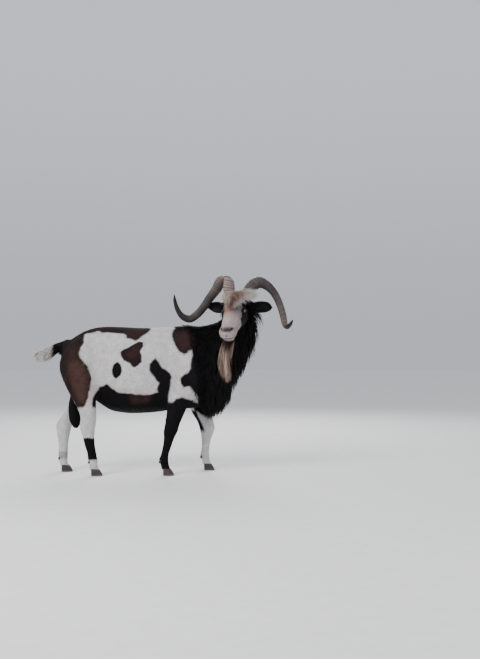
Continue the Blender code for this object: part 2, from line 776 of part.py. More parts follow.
def centre_on_floor(objects):
    """Moves the goat so that the origin is on the floor under the middle of its box."""
    corners = np.array([v.co for obj in objects for v in obj.data.vertices])
    middle = (corners.min(0) + corners.max(0)) / 2
    shift = Matrix.Translation((-middle[0], -middle[1], -FLOOR))
    for obj in objects:
        obj.data.transform(shift)


def lock(root, middle, tip, facing, size, rings=4):
    """A flat tapered lock of hair, as one closed mesh.

    Its middle line is the parabola from root through middle to tip. Its section is a flattened
    diamond, square to that line, with its flat side to facing: widest at a third of the way, and
    drawn in to a point at the tip.
    """
    width, thick = size
    root, middle, tip, facing = (np.array(v, float) for v in (root, middle, tip, facing))
    t = np.linspace(0.0, 1.0, rings + 1)[:, None]
    first, second = 4 * middle - 3 * root - tip, 2 * root + 2 * tip - 4 * middle
    line = root + first * t + second * t**2
    along = first + 2 * second * t
    along /= np.linalg.norm(along, axis=1)[:, None]
    side = np.cross(facing, along)
    side /= np.linalg.norm(side, axis=1)[:, None]
    out = np.cross(along, side)
    wide = side * (0.62 + 1.35 * t - 1.97 * t**2) * width / 2
    high = out * (1 - 0.75 * t) * thick / 2
    rings_of = np.stack([line + wide, line + high, line - wide, line - high], 1)[:-1]
    points = np.concatenate([rings_of.reshape(-1, 3), line[:1], line[-1:]])
    base, end = 4 * rings, 4 * rings + 1
    faces = []
    for i in range(4):
        j = (i + 1) % 4
        faces += [(4 * k + i, 4 * k + j, 4 * k + 4 + j, 4 * k + 4 + i) for k in range(rings - 1)]
        faces += [(base, j, i), (end, base - 4 + i, base - 4 + j)]
    return object_from("lock", points, faces)


def bent_lock(root, start, end, facing, size, rings=4):
    """A lock that leaves root in the direction start and has turned to end by its tip."""
    root, start, end = (np.array(v, float) for v in (root, start, end))
    turn = end - start
    middle = root + size[0] * (start / 2 + turn / 8)
    return lock(root, middle, root + size[0] * (start + turn / 2), facing, size[1:], rings)


def unit(vector):
    """The vector as a numpy array of length 1."""
    vector = np.array(vector, float)
    return vector / np.linalg.norm(vector)


def varied(size, draw, share=0.15):
    """A lock's length, width and thickness, each changed by up to the share."""
    return tuple(v * draw.uniform(1 - share, 1 + share) for v in size)


def lying_lock(skin, spot, way, rise, size, rings=3):
    """A lock that lies along a skin, rooted in it at the spot and standing off it by the rise."""
    place, normal = skin.find_nearest(Vector(spot))[:2]
    way = Vector(way) - normal * normal.dot(Vector(way))
    way.normalize()
    middle, lift = skin.find_nearest(place + way * (size[0] / 2) + normal * 0.01)[:2]
    tip, end_lift = skin.find_nearest(place + way * size[0] + normal * 0.01)[:2]
    middle, tip = middle + lift * (0.5 * rise), tip + end_lift * rise
    return lock(place - normal * LOCK_SINK, middle, tip, normal + lift, size[1:], rings)


def neck_locks(skin):
    """The shaggy hair of the throat and the sides of the neck, in rows that overlap downwards."""
    draw = random.Random(13)
    centres, crest, throat, side = neck_frame(41)
    locks = []
    for row in range(NECK_ROWS):
        for place in range(NECK_ROW_LOCKS):
            share = (row + draw.uniform(-0.2, 0.2)) / (NECK_ROWS - 1)
            k = int(round(7 + 33 * min(max(share, 0.0), 1.0)))
            step = (place + 0.5 * (row % 2) + draw.uniform(-0.15, 0.15)) / (NECK_ROW_LOCKS - 0.5)
            turn = math.radians(NECK_HAIR_FROM + (360 - 2 * NECK_HAIR_FROM) * step)
            front = (0.5 - 0.5 * math.cos(turn)) ** 2
            deep = crest[k] if math.cos(turn) > 0 else throat[k]
            spot = centres[k] + deep * math.cos(turn) + side[k] * math.sin(turn)
            ahead = unit(centres[k] - centres[k - 1])
            rise = NECK_LOCK_RISE[0] + (NECK_LOCK_RISE[1] - NECK_LOCK_RISE[0]) * front
            clear = min(1.0, max(share, 0.0) / SHOULDER_ROWS + front)
            rise *= SHOULDER_LOCK_RISE + (1 - SHOULDER_LOCK_RISE) * clear
            way = -0.6 * ahead + np.array([0.05, 0.0, -0.8])
            locks.append(lying_lock(skin, spot, way, rise, varied(NECK_LOCK, draw)))
    return locks


def tail_locks():
    """The fringe of the tail, which stands out to its sides, below and past its end."""
    draw = random.Random(37)
    dock = resampled(TAIL, 21, [0, 1])
    locks = []
    for place in range(TAIL_LOCKS):
        share = (place + 0.5) / TAIL_LOCKS
        k = 6 + int(13 * share)
        turn = 2.4 * place
        normal = unit([0.0, math.cos(turn), math.sin(turn) - 0.35])
        ahead = unit([dock[k, 0] - dock[k - 1, 0], 0.0, dock[k, 1] - dock[k - 1, 1]])
        root = np.array([dock[k, 0], 0.0, dock[k, 1]]) + normal * 0.006 - ahead * 0.010
        start = unit(ahead + normal * 0.55)
        end = unit(ahead + normal * 0.30 + np.array([0.0, 0.0, 0.35 * share - 0.20]))
        locks.append(bent_lock(root, start, end, normal, varied(TAIL_LOCK, draw)))
    return locks


def beard():
    """The beard: long locks that hang from the chin in two main hanks, over a short core."""
    draw = random.Random(53)
    core = level_loft("beard", BEARD_CORE, -1, 6, 8)
    locks = []
    for place in range(BEARD_LOCKS):
        hank = -1 if place % 2 else 1
        turn = 2.4 * place
        ring = 0.35 + 0.65 * ((place * 0.618) % 1.0)
        x = 0.419 + hank * 0.011 + 0.016 * ring * math.cos(turn)
        y = -0.226 + 0.015 * ring * math.sin(turn)
        z = 0.716 - 0.045 * ((place * 0.37) % 1.0)
        away = np.array([hank * 0.5 + math.cos(turn), math.sin(turn), 0.0])
        start = unit(np.array([0.0, 0.0, -1.0]) + away * 0.13)
        end = unit(np.array([0.02 - hank * 0.07, 0.02, -1.0]) - away * 0.05)
        facing = [0.35 * math.cos(turn), -1.0 if math.sin(turn) < 0.3 else 1.0, 0.0]
        length, width, thick = varied(BEARD_LOCK, draw, 0.12)
        locks.append(bent_lock((x, y, z), start, end, facing, (length * (1.0 - 0.28 * ring), width, thick), 5))
    return keep_largest(boolean(core, locks, "UNION"))


def forelock():
    """The forelock: locks that part between the horns and fall over the brow to both sides."""
    draw = random.Random(71)
    forward, brow, left = (np.array(v) for v in head_axes())
    core = ball("forelock", on_head(*FORELOCK), FORELOCK_CORE, (left, forward, brow), 12, 8)
    centre = np.array(on_head(*FORELOCK))
    locks = []
    for place in range(FORELOCK_LOCKS):
        turn = math.radians(-100 + 200 * (place + 0.5) / FORELOCK_LOCKS + draw.uniform(-6, 6))
        spread = math.sin(turn)
        reach = 0.3 + 0.5 * (place % 2)
        root = centre + left * spread * 0.030 * reach + forward * math.cos(turn) * 0.012 * reach
        root = root + brow * (0.004 + 0.006 * (place % 2))
        way = left * spread + forward * (0.25 + 0.75 * math.cos(turn))
        start = unit(way + brow * 0.80)
        end = unit(way - brow * 0.70 + np.array([0.0, 0.0, -0.60]))
        size = varied(FORELOCK_LOCK, draw)
        size = (size[0] * (1.0 + 0.08 * spread - 0.20 * abs(spread)), size[1], size[2])
        locks.append(bent_lock(root, start, end, brow + way * 0.4, size))
    return keep_largest(boolean(core, locks, "UNION"))


def head_nodes():
    """The head with its horns, ears and eyes, each clear of the others."""
    skull = head()
    nodes = [skull]
    for side, word, rows, roll in HORN_PLAN:
        boss = horn("horn_" + word, rows, math.radians(roll))
        boolean(boss, [grown_copy(skull)], "DIFFERENCE")
        flap = ear("ear_" + word, side)
        boolean(flap, [grown_copy(skull), grown_copy(boss)], "DIFFERENCE")
        out, corner, up = eye_axes(side)
        eyeball = ball("eye_" + word, eye_place(side), (EYE_RADIUS,) * 3, (corner, up, out), 14, 8)
        nodes.append(finished(keep_largest(boss), "horn", 0.5))
        nodes.append(finished(keep_largest(flap), "coat_dark"))
        nodes.append(finished(eyeball, "eye", 0.1))
    tuft = boolean(forelock(), [grown_copy(node) for node in nodes], "DIFFERENCE")
    nodes.append(finished(keep_largest(tuft), "coat_cream"))
    hanks = boolean(beard(), [grown_copy(skull)], "DIFFERENCE")
    nodes.append(finished(keep_largest(hanks), "coat_cream"))
    return [finished(skull, "coat_cream")] + nodes[1:]


def leg_nodes(body):
    """The legs cut from the body, and their hooves."""
    nodes = []
    for name, rows, side in leg_plan():
        top = FORELEG_TOP if "fore" in name else HINDLEG_TOP
        region = leg_region(rows, side, top, 0.024)
        leg = parted(body, name, region, grown_copy(region))
        nodes.append(finished(leg, "coat_dark"))
        nodes.append(finished(hoof(name.replace("leg", "hoof"), rows, side), "hoof", 0.45))
    return nodes


def scrotum_node(body, legs):
    """The scrotum, with the body and the hind legs cut clear of it."""
    pouch = level_loft("scrotum", SCROTUM, 1, 10, 11)
    for other in [body] + [leg for leg in legs if leg.name.startswith("hindleg")]:
        keep_largest(boolean(other, [grown_copy(pouch)], "DIFFERENCE"))
    return finished(keep_largest(pouch), "coat_dark")


def skin_of(obj):
    """A search tree over the object's surface."""
    return BVHTree.FromPolygons(
        [v.co.copy() for v in obj.data.vertices], [list(f.vertices) for f in obj.data.polygons]
    )


def haired(node, locks, others):
    """The node with its locks grown on, cut clear of the other nodes."""
    boolean(node, locks, "UNION")
    keep_largest(node)
    boolean(node, [grown_copy(other, LOCK_GAP) for other in others], "DIFFERENCE")
    return keep_largest(node)


def main():
    """Builds every node of the goat."""
    clear_scene()
    nodes = head_nodes()
    body = flesh()
    boolean(body, [slab("floor_cut", (0, 0, HOOF_TOP + GAP), (0, 0, -1))], "DIFFERENCE")
    boolean(body, [grown_copy(node) for node in nodes], "DIFFERENCE")
    keep_largest(body)
    legs = leg_nodes(body)
    nodes += legs + [scrotum_node(body, legs)]
    tail_grown = slab("tail_grown", Vector(TAIL_CUT[0]) - Vector(TAIL_CUT[1]) * GAP, TAIL_CUT[1], 0.3)
    tail = parted(body, "tail", slab("tail_region", *TAIL_CUT, 0.3), tail_grown)
    skin = skin_of(body)
    neck_grown = slab("neck_grown", Vector(NECK_CUT[0]) - Vector(NECK_CUT[1]) * GAP, NECK_CUT[1])
    neck = parted(body, "neck", slab("neck_region", *NECK_CUT), neck_grown)
    body.name = "torso"
    torso = keep_largest(body)
    nodes.append(finished(haired(tail, tail_locks(), [torso]), "coat_white"))
    nodes.append(finished(haired(neck, neck_locks(skin), nodes + [torso]), "coat_dark"))
    nodes.append(finished(torso, "coat_white"))
    centre_on_floor(nodes)
    gathered(nodes)


main()
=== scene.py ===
"""A life-size pied goat buck at rest: skin, coat, horns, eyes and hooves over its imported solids.

Lengths are metres. Shapes are worked out in the goat's measuring frame, with x counted along the
back, z up from the floor and y to the goat's left, and the finished meshes are moved by one shift
to where the solids stand.
"""

import sys

import logging
import math
from dataclasses import dataclass, field
from enum import Enum
from typing import Callable

import bpy
import numpy as np
from mathutils import Matrix, Vector


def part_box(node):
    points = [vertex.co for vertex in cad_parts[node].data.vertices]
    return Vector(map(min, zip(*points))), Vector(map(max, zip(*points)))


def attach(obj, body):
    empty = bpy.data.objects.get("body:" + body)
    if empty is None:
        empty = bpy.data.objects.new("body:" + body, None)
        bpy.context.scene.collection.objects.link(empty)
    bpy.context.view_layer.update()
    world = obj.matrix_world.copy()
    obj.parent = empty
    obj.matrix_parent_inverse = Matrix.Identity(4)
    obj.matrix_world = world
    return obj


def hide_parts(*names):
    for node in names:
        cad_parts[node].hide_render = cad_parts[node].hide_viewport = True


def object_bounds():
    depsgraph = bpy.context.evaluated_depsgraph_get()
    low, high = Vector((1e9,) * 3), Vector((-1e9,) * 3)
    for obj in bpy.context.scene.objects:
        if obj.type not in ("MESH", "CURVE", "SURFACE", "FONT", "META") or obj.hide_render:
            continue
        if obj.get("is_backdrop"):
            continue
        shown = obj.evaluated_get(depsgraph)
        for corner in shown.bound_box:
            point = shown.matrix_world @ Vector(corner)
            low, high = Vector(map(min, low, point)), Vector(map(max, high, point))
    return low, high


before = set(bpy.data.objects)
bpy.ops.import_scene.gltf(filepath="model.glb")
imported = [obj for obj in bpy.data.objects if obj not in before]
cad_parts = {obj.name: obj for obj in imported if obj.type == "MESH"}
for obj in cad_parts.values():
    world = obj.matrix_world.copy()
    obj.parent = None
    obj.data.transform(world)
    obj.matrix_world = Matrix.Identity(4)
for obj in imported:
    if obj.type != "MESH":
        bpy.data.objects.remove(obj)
LOG = logging.getLogger("goat")
Array = np.ndarray
Row = tuple[float, ...]


class Side(Enum):
    """The goat's own right and left, as the sign of y."""

    RIGHT = -1
    LEFT = 1

    @property
    def word(self) -> str:
        """The side's name in node names."""
        return self.name.lower()


def unit(vectors: Array) -> Array:
    """Vectors along the last axis, scaled to length 1."""
    vectors = np.asarray(vectors, float)
    return vectors / np.maximum(np.linalg.norm(vectors, axis=-1, keepdims=True), 1e-9)


def ease(values: Array, low: float, high: float) -> Array:
    """A smooth step: 0 below low, 1 above high, 3t^2 - 2t^3 between. High may be below low."""
    t = np.clip((np.asarray(values, float) - low) / (high - low), 0.0, 1.0)
    return t * t * (3.0 - 2.0 * t)


def bump(distance: Array, width: float) -> Array:
    """A bell of height 1: exp of minus the squared distance over the squared width."""
    return np.exp(-((distance / width) ** 2))


def waves(points: Array, size: float, seed: int) -> Array:
    """Smooth disorder: the mean of twelve sine waves in random directions.

    Args:
        points: Places, an array of N by 3.
        size: Length of a wave.
        seed: Chooses the directions and phases.

    Returns:
        N numbers, mostly from -1 to 1.
    """
    draw = np.random.default_rng(seed)
    ways = unit(draw.normal(size=(12, 3))) * draw.uniform(0.7, 1.5, (12, 1))
    turns = points @ ways.T * (2 * math.pi / size) + draw.uniform(0, 2 * math.pi, 12)
    return np.sin(turns).mean(1) * 2.4


def spline(rows: Array | tuple[Row, ...], count: int, places: list[int]) -> Array:
    """Rows of numbers on a smooth curve: cubic pieces whose slopes are those of the row's neighbours.

    Args:
        rows: The rows that the curve passes through.
        count: How many rows to return.
        places: Columns whose distance spaces the rows evenly.

    Returns:
        Count rows.
    """
    table = np.asarray(rows, float)
    knots = np.concatenate([[0.0], np.cumsum(np.linalg.norm(np.diff(table[:, places], axis=0), axis=1))])
    slopes = np.gradient(table, knots, axis=0)
    t = np.linspace(0.0, knots[-1], count)
    i = np.clip(np.searchsorted(knots, t, side="right") - 1, 0, len(table) - 2)
    span = (knots[i + 1] - knots[i])[:, None]
    u = (t - knots[i])[:, None] / span
    return (
        (2 * u**3 - 3 * u**2 + 1) * table[i]
        + (u**3 - 2 * u**2 + u) * span * slopes[i]
        + (3 * u**2 - 2 * u**3) * table[i + 1]
        + (u**3 - u**2) * span * slopes[i + 1]
    )


def ring_faces(rings: int, around: int) -> tuple[Array, Array]:
    """Faces of a tube of rings whose two end centres follow the ring points.

    Args:
        rings: How many rings.
        around: Points in a ring, which run so that the next ring lies to their left.

    Returns:
        The four-sided faces between rings, and the three-sided ones that close the ends.
    """
    i = np.arange(around)
    j = (i + 1) % around
    first = np.stack([i, j, j + around, i + around], 1)
    quads = (np.arange(rings - 1)[:, None, None] * around + first[None]).reshape(-1, 4)
    start, end = rings * around, rings * around + 1
    low = np.stack([np.full(around, start), j, i], 1)
    base = (rings - 1) * around
    high = np.stack([np.full(around, end), base + i, base + j], 1)
    return quads, np.concatenate([low, high])


def grid_faces(rows: int, columns: int) -> Array:
    """Four-sided faces of an open grid, row by row."""
    corner = (np.arange(rows - 1)[:, None] * columns + np.arange(columns - 1)[None]).reshape(-1)
    return np.stack([corner, corner + 1, corner + columns + 1, corner + columns], 1)


@dataclass
class Shell:
    """A mesh in the making: its points, its four-sided and its three-sided faces."""

    points: Array
    quads: Array
    tris: Array

    def turned_out(self) -> "Shell":
        """The shell with its faces pointing outwards, judged by the sign of its volume."""
        tris = np.concatenate([self.quads[:, [0, 1, 2]], self.quads[:, [0, 2, 3]], self.tris])
        corner = self.points[tris] - self.points.mean(0)
        if np.linalg.det(corner).sum() < 0:
            return Shell(self.points, self.quads[:, ::-1], self.tris[:, ::-1])
        return self

    def to_object(self, name: str, smooth: bool = True) -> bpy.types.Object:
        """The shell as an object at the origin, linked to the scene.

        Args:
            name: The object's name.
            smooth: Whether its faces are shaded smooth.

        Returns:
            The object.
        """
        mesh = bpy.data.meshes.new(name)
        corners = np.concatenate([self.quads.reshape(-1), self.tris.reshape(-1)]).astype(np.int32)
        fours, threes = len(self.quads), len(self.tris)
        starts = np.concatenate([np.arange(fours) * 4, fours * 4 + np.arange(threes) * 3])
        mesh.vertices.add(len(self.points))
        mesh.vertices.foreach_set("co", np.asarray(self.points, np.float32).reshape(-1))
        mesh.loops.add(len(corners))
        mesh.loops.foreach_set("vertex_index", corners)
        mesh.polygons.add(fours + threes)
        mesh.polygons.foreach_set("loop_start", starts.astype(np.int32))
        mesh.polygons.foreach_set("use_smooth", np.full(fours + threes, smooth))
        mesh.update(calc_edges=True)
        mesh.validate()
        obj = bpy.data.objects.new(name, mesh)
        bpy.context.scene.collection.objects.link(obj)
        return obj


def no_faces(sides: int) -> Array:
    """An empty array of faces with that many sides."""
    return np.zeros((0, sides), int)


def lofted(centres: Array, up: Array, down: Array, side: Array, around: int, square: float = 1.0) -> Shell:
    """A closed skin over rings: centre + (up or down) * cos(turn)^square + side * sin(turn)^square.

    Args:
        centres: Middle of each ring.
        up: Each ring's half size where the cosine is positive.
        down: Its half size where the cosine is negative.
        side: Its half size across.
        around: Points in a ring.
        square: Below 1, the ring is squarer.

    Returns:
        The skin with both ends closed.
    """
    turn = np.arange(around) * 2 * math.pi / around
    c, s = np.cos(turn), np.sin(turn)
    c, s = np.sign(c) * np.abs(c) ** square, np.sign(s) * np.abs(s) ** square
    rise = np.where(c[None, :, None] > 0, up[:, None], down[:, None])
    rings = centres[:, None] + rise * c[None, :, None] + side[:, None] * s[None, :, None]
    points = np.concatenate([rings.reshape(-1, 3), centres[:1], centres[-1:]])
    return Shell(points, *ring_faces(len(centres), around)).turned_out()


def merged(shells: list[Shell]) -> Shell:
    """Several shells, which may cross, as one."""
    starts = np.cumsum([0] + [len(shell.points) for shell in shells])
    return Shell(
        np.concatenate([shell.points for shell in shells]),
        np.concatenate([shell.quads + start for shell, start in zip(shells, starts)]),
        np.concatenate([shell.tris + start for shell, start in zip(shells, starts)]),
    )


def applied(obj: bpy.types.Object) -> bpy.types.Object:
    """Makes the object's modifiers part of its mesh."""
    graph = bpy.context.evaluated_depsgraph_get()
    mesh = bpy.data.meshes.new_from_object(obj.evaluated_get(graph))
    obj.modifiers.clear()
    obj.data = mesh
    return obj


def points_of(obj: bpy.types.Object) -> Array:
    """The places of the object's vertices, N by 3."""
    flat = np.empty(len(obj.data.vertices) * 3, np.float32)
    obj.data.vertices.foreach_get("co", flat)
    return flat.reshape(-1, 3).astype(float)


def normals_of(obj: bpy.types.Object) -> Array:
    """The normals of the object's vertices, N by 3."""
    flat = np.empty(len(obj.data.vertices) * 3, np.float32)
    obj.data.vertices.foreach_get("normal", flat)
    return flat.reshape(-1, 3).astype(float)


def move_points(obj: bpy.types.Object, points: Array) -> None:
    """Puts the object's vertices at these places."""
    obj.data.vertices.foreach_set("co", points.astype(np.float32).reshape(-1))
    obj.data.update()


def store_colour(obj: bpy.types.Object, name: str, colours: Array) -> None:
    """Stores a colour for each vertex under an attribute name."""
    attribute = obj.data.attributes.new(name, "FLOAT_COLOR", "POINT")
    rows = np.concatenate([colours, np.ones((len(colours), 1))], 1)
    attribute.data.foreach_set("color", rows.astype(np.float32).reshape(-1))


def store_value(obj: bpy.types.Object, name: str, values: Array) -> None:
    """Stores a number for each vertex under an attribute name."""
    attribute = obj.data.attributes.new(name, "FLOAT", "POINT")
    attribute.data.foreach_set("value", values.astype(np.float32))


MM = 0.001
# Trunk, from the rump to the breast: x, top, bottom, half width, level of the greatest width
TRUNK = MM * np.array((
    (-478, 655, 590, 26, 622), (-458, 695, 530, 60, 612), (-410, 738, 475, 88, 605),
    (-350, 772, 430, 106, 600), (-290, 791, 388, 120, 590), (-220, 797, 345, 136, 570),
    (-140, 795, 326, 151, 550), (-50, 791, 323, 160, 540), (40, 792, 329, 158, 540),
    (110, 797, 338, 150, 545), (180, 801, 343, 139, 555), (250, 795, 350, 126, 560),
    (330, 760, 366, 110, 560), (395, 700, 410, 86, 550), (432, 630, 470, 45, 540),
))
# Neck, from the shoulders to the skull: x, y, z, slope in degrees, depths to the crest and the
# throat, half width
NECK = (
    (0.18, 0, 0.6, 20, 0.19, 0.195, 0.11), (0.29, 0, 0.635, 34, 0.172, 0.2, 0.098),
    (0.375, -0.004, 0.7, 47, 0.14, 0.156, 0.082), (0.435, -0.02, 0.775, 58, 0.080, 0.118, 0.072),
    (0.47, -0.048, 0.845, 68, 0.052, 0.094, 0.066), (0.478, -0.08, 0.895, 74, 0.050, 0.084, 0.058),
)
# Legs, from the top down: x, height, distance from the middle plane, half length, half width
FORELEG_RIGHT = MM * np.array((
    (150, 735, 60, 40, 28), (168, 690, 80, 62, 38), (192, 620, 97, 80, 44), (213, 550, 105, 88, 48),
    (205, 480, 105, 85, 48), (175, 420, 103, 76, 44), (150, 365, 101, 58, 39),
    (134, 310, 100, 46, 35), (121, 265, 100, 39, 32), (114, 235, 100, 38, 33),
    (106, 200, 100, 29, 27), (94, 150, 100, 23, 21), (83, 110, 100, 21, 20), (77, 80, 100, 25, 23),
    (83, 56, 100, 22, 22), (90, 30, 100, 24, 24),
))
FORELEG_LEFT = MM * np.array((
    (158, 735, 60, 40, 28), (178, 690, 80, 62, 38), (207, 620, 97, 80, 44), (234, 550, 105, 88, 48),
    (241, 480, 105, 85, 48), (246, 420, 103, 74, 44), (266, 365, 101, 60, 39),
    (288, 310, 100, 52, 36), (309, 265, 100, 45, 34), (317, 235, 100, 43, 34),
    (316, 200, 100, 34, 28), (311, 150, 100, 24, 22), (307, 110, 100, 22, 21),
    (304, 80, 100, 25, 23), (310, 56, 100, 22, 22), (317, 30, 100, 24, 24),
))
THIGH = (
    (-330, 735, 50, 60, 30), (-352, 690, 78, 85, 42), (-376, 630, 92, 96, 50),
    (-380, 570, 98, 98, 53), (-368, 510, 98, 93, 53),
)
HINDLEG_RIGHT = MM * np.array((
    *THIGH, (-352, 450, 96, 82, 49),
    (-341, 400, 94, 67, 43), (-328, 350, 92, 51, 37), (-321, 305, 91, 43, 32),
    (-325, 268, 90, 42, 30), (-325, 240, 90, 38, 30), (-320, 205, 90, 31, 27),
    (-313, 160, 90, 27, 24), (-303, 120, 90, 24, 22), (-297, 80, 90, 25, 23),
    (-294, 56, 90, 22, 22), (-289, 30, 90, 24, 24),
))
HINDLEG_LEFT = MM * np.array((
    *THIGH, (-358, 455, 96, 82, 49),
    (-366, 405, 94, 66, 43), (-395, 360, 92, 54, 37), (-428, 315, 91, 46, 31),
    (-454, 280, 90, 45, 30), (-468, 250, 90, 43, 30), (-470, 215, 90, 37, 28),
    (-471, 170, 90, 29, 24), (-471, 120, 90, 25, 22), (-472, 80, 90, 26, 23),
    (-470, 56, 90, 22, 22), (-463, 30, 90, 24, 24),
))
# Scrotum, in the same terms as a leg
SCROTUM = MM * np.array((
    (-388, 470, 0, 26, 26), (-396, 425, 0, 33, 33), (-402, 370, 0, 37, 37), (-401, 320, 0, 36, 36),
    (-397, 275, 0, 29, 31), (-395, 245, 0, 12, 14),
))
# Tail: x, z, half height, half width
TAIL = MM * np.array((
    (-430, 703, 30, 36), (-470, 690, 27, 32), (-510, 668, 26, 30), (-543, 653, 25, 28),
    (-570, 649, 20, 22), (-592, 653, 8, 10),
))
# Head, from the poll to the lips: distance along, height above and depth below the axis, half width
HEAD = MM * np.array((
    (0, 18, 18, 20), (12, 44, 40, 46), (40, 60, 56, 62), (75, 65, 70, 70), (105, 61, 80, 71),
    (135, 54, 79, 63), (163, 47, 71, 53), (190, 42, 62, 47), (217, 40, 55, 45), (243, 38, 53, 47),
    (264, 34, 51, 47), (280, 24, 41, 38), (289, 10, 22, 21),
))
# Horn centrelines, from root to tip: x, y, z
HORN_RIGHT = MM * np.array((
    (426, -96, 892), (424, -94, 925), (425, -88, 994), (418, -74, 1051), (388, -50, 1042),
    (358, -26, 993), (324, -6, 948), (293, 6, 901), (258, 8, 861), (217, -2, 835), (180, -22, 845),
    (149, -50, 884), (134, -72, 930), (130, -86, 965),
))
HORN_LEFT = MM * np.array((
    (496, -121, 895), (506, -116, 925), (524, -108, 975), (551, -92, 1014), (591, -70, 1034),
    (634, -48, 1018), (670, -34, 985), (696, -27, 942), (714, -30, 895), (726, -40, 846),
    (731, -62, 806), (736, -96, 790), (748, -130, 802), (763, -152, 830),
))
# Horn half depth and half thickness at shares of its length
HORN_TAPER = (
    (0, 0.026, 0.019), (0.07, 0.0285, 0.02), (0.16, 0.0325, 0.021), (0.3, 0.0305, 0.0195),
    (0.45, 0.024, 0.0165), (0.6, 0.0215, 0.016), (0.75, 0.0195, 0.0145), (0.88, 0.0150, 0.0110),
    (0.95, 0.0110, 0.0080), (1, 0.0030, 0.0025),
)


@dataclass(frozen=True)
class HeadFrame:
    """Where the head is and how it is turned: its own directions and places on it.

    turn is the angle that the face turns from square-on, dip the slope of the face.
    """

    poll: Row = (0.488, -0.050, 0.918)
    turn: float = math.radians(23.0)
    dip: float = math.radians(38.0)

    def axes(self) -> tuple[Array, Array, Array]:
        """Unit vectors along the face to the lips, out of the forehead and to the goat's left."""
        level = np.array([-math.sin(self.turn), -math.cos(self.turn), 0.0])
        along = level * math.cos(self.dip) - np.array([0, 0, math.sin(self.dip)])
        brow = level * math.sin(self.dip) + np.array([0, 0, math.cos(self.dip)])
        return along, brow, np.cross(brow, along)

    def place(self, along: Array, side: Array, above: Array) -> Array:
        """The places of points given along, to the left of and above the head's axis."""
        forward, brow, left = self.axes()
        along, side, above = (np.asarray(v, float)[..., None] for v in (along, side, above))
        return np.array(self.poll) + along * forward + side * left + above * brow

    def local(self, points: Array) -> Array:
        """The places along, to the left of and above the axis of points in the goat's frame."""
        forward, brow, left = self.axes()
        return (points - np.array(self.poll)) @ np.stack([forward, left, brow], 1)


HEAD_FRAME = HeadFrame()


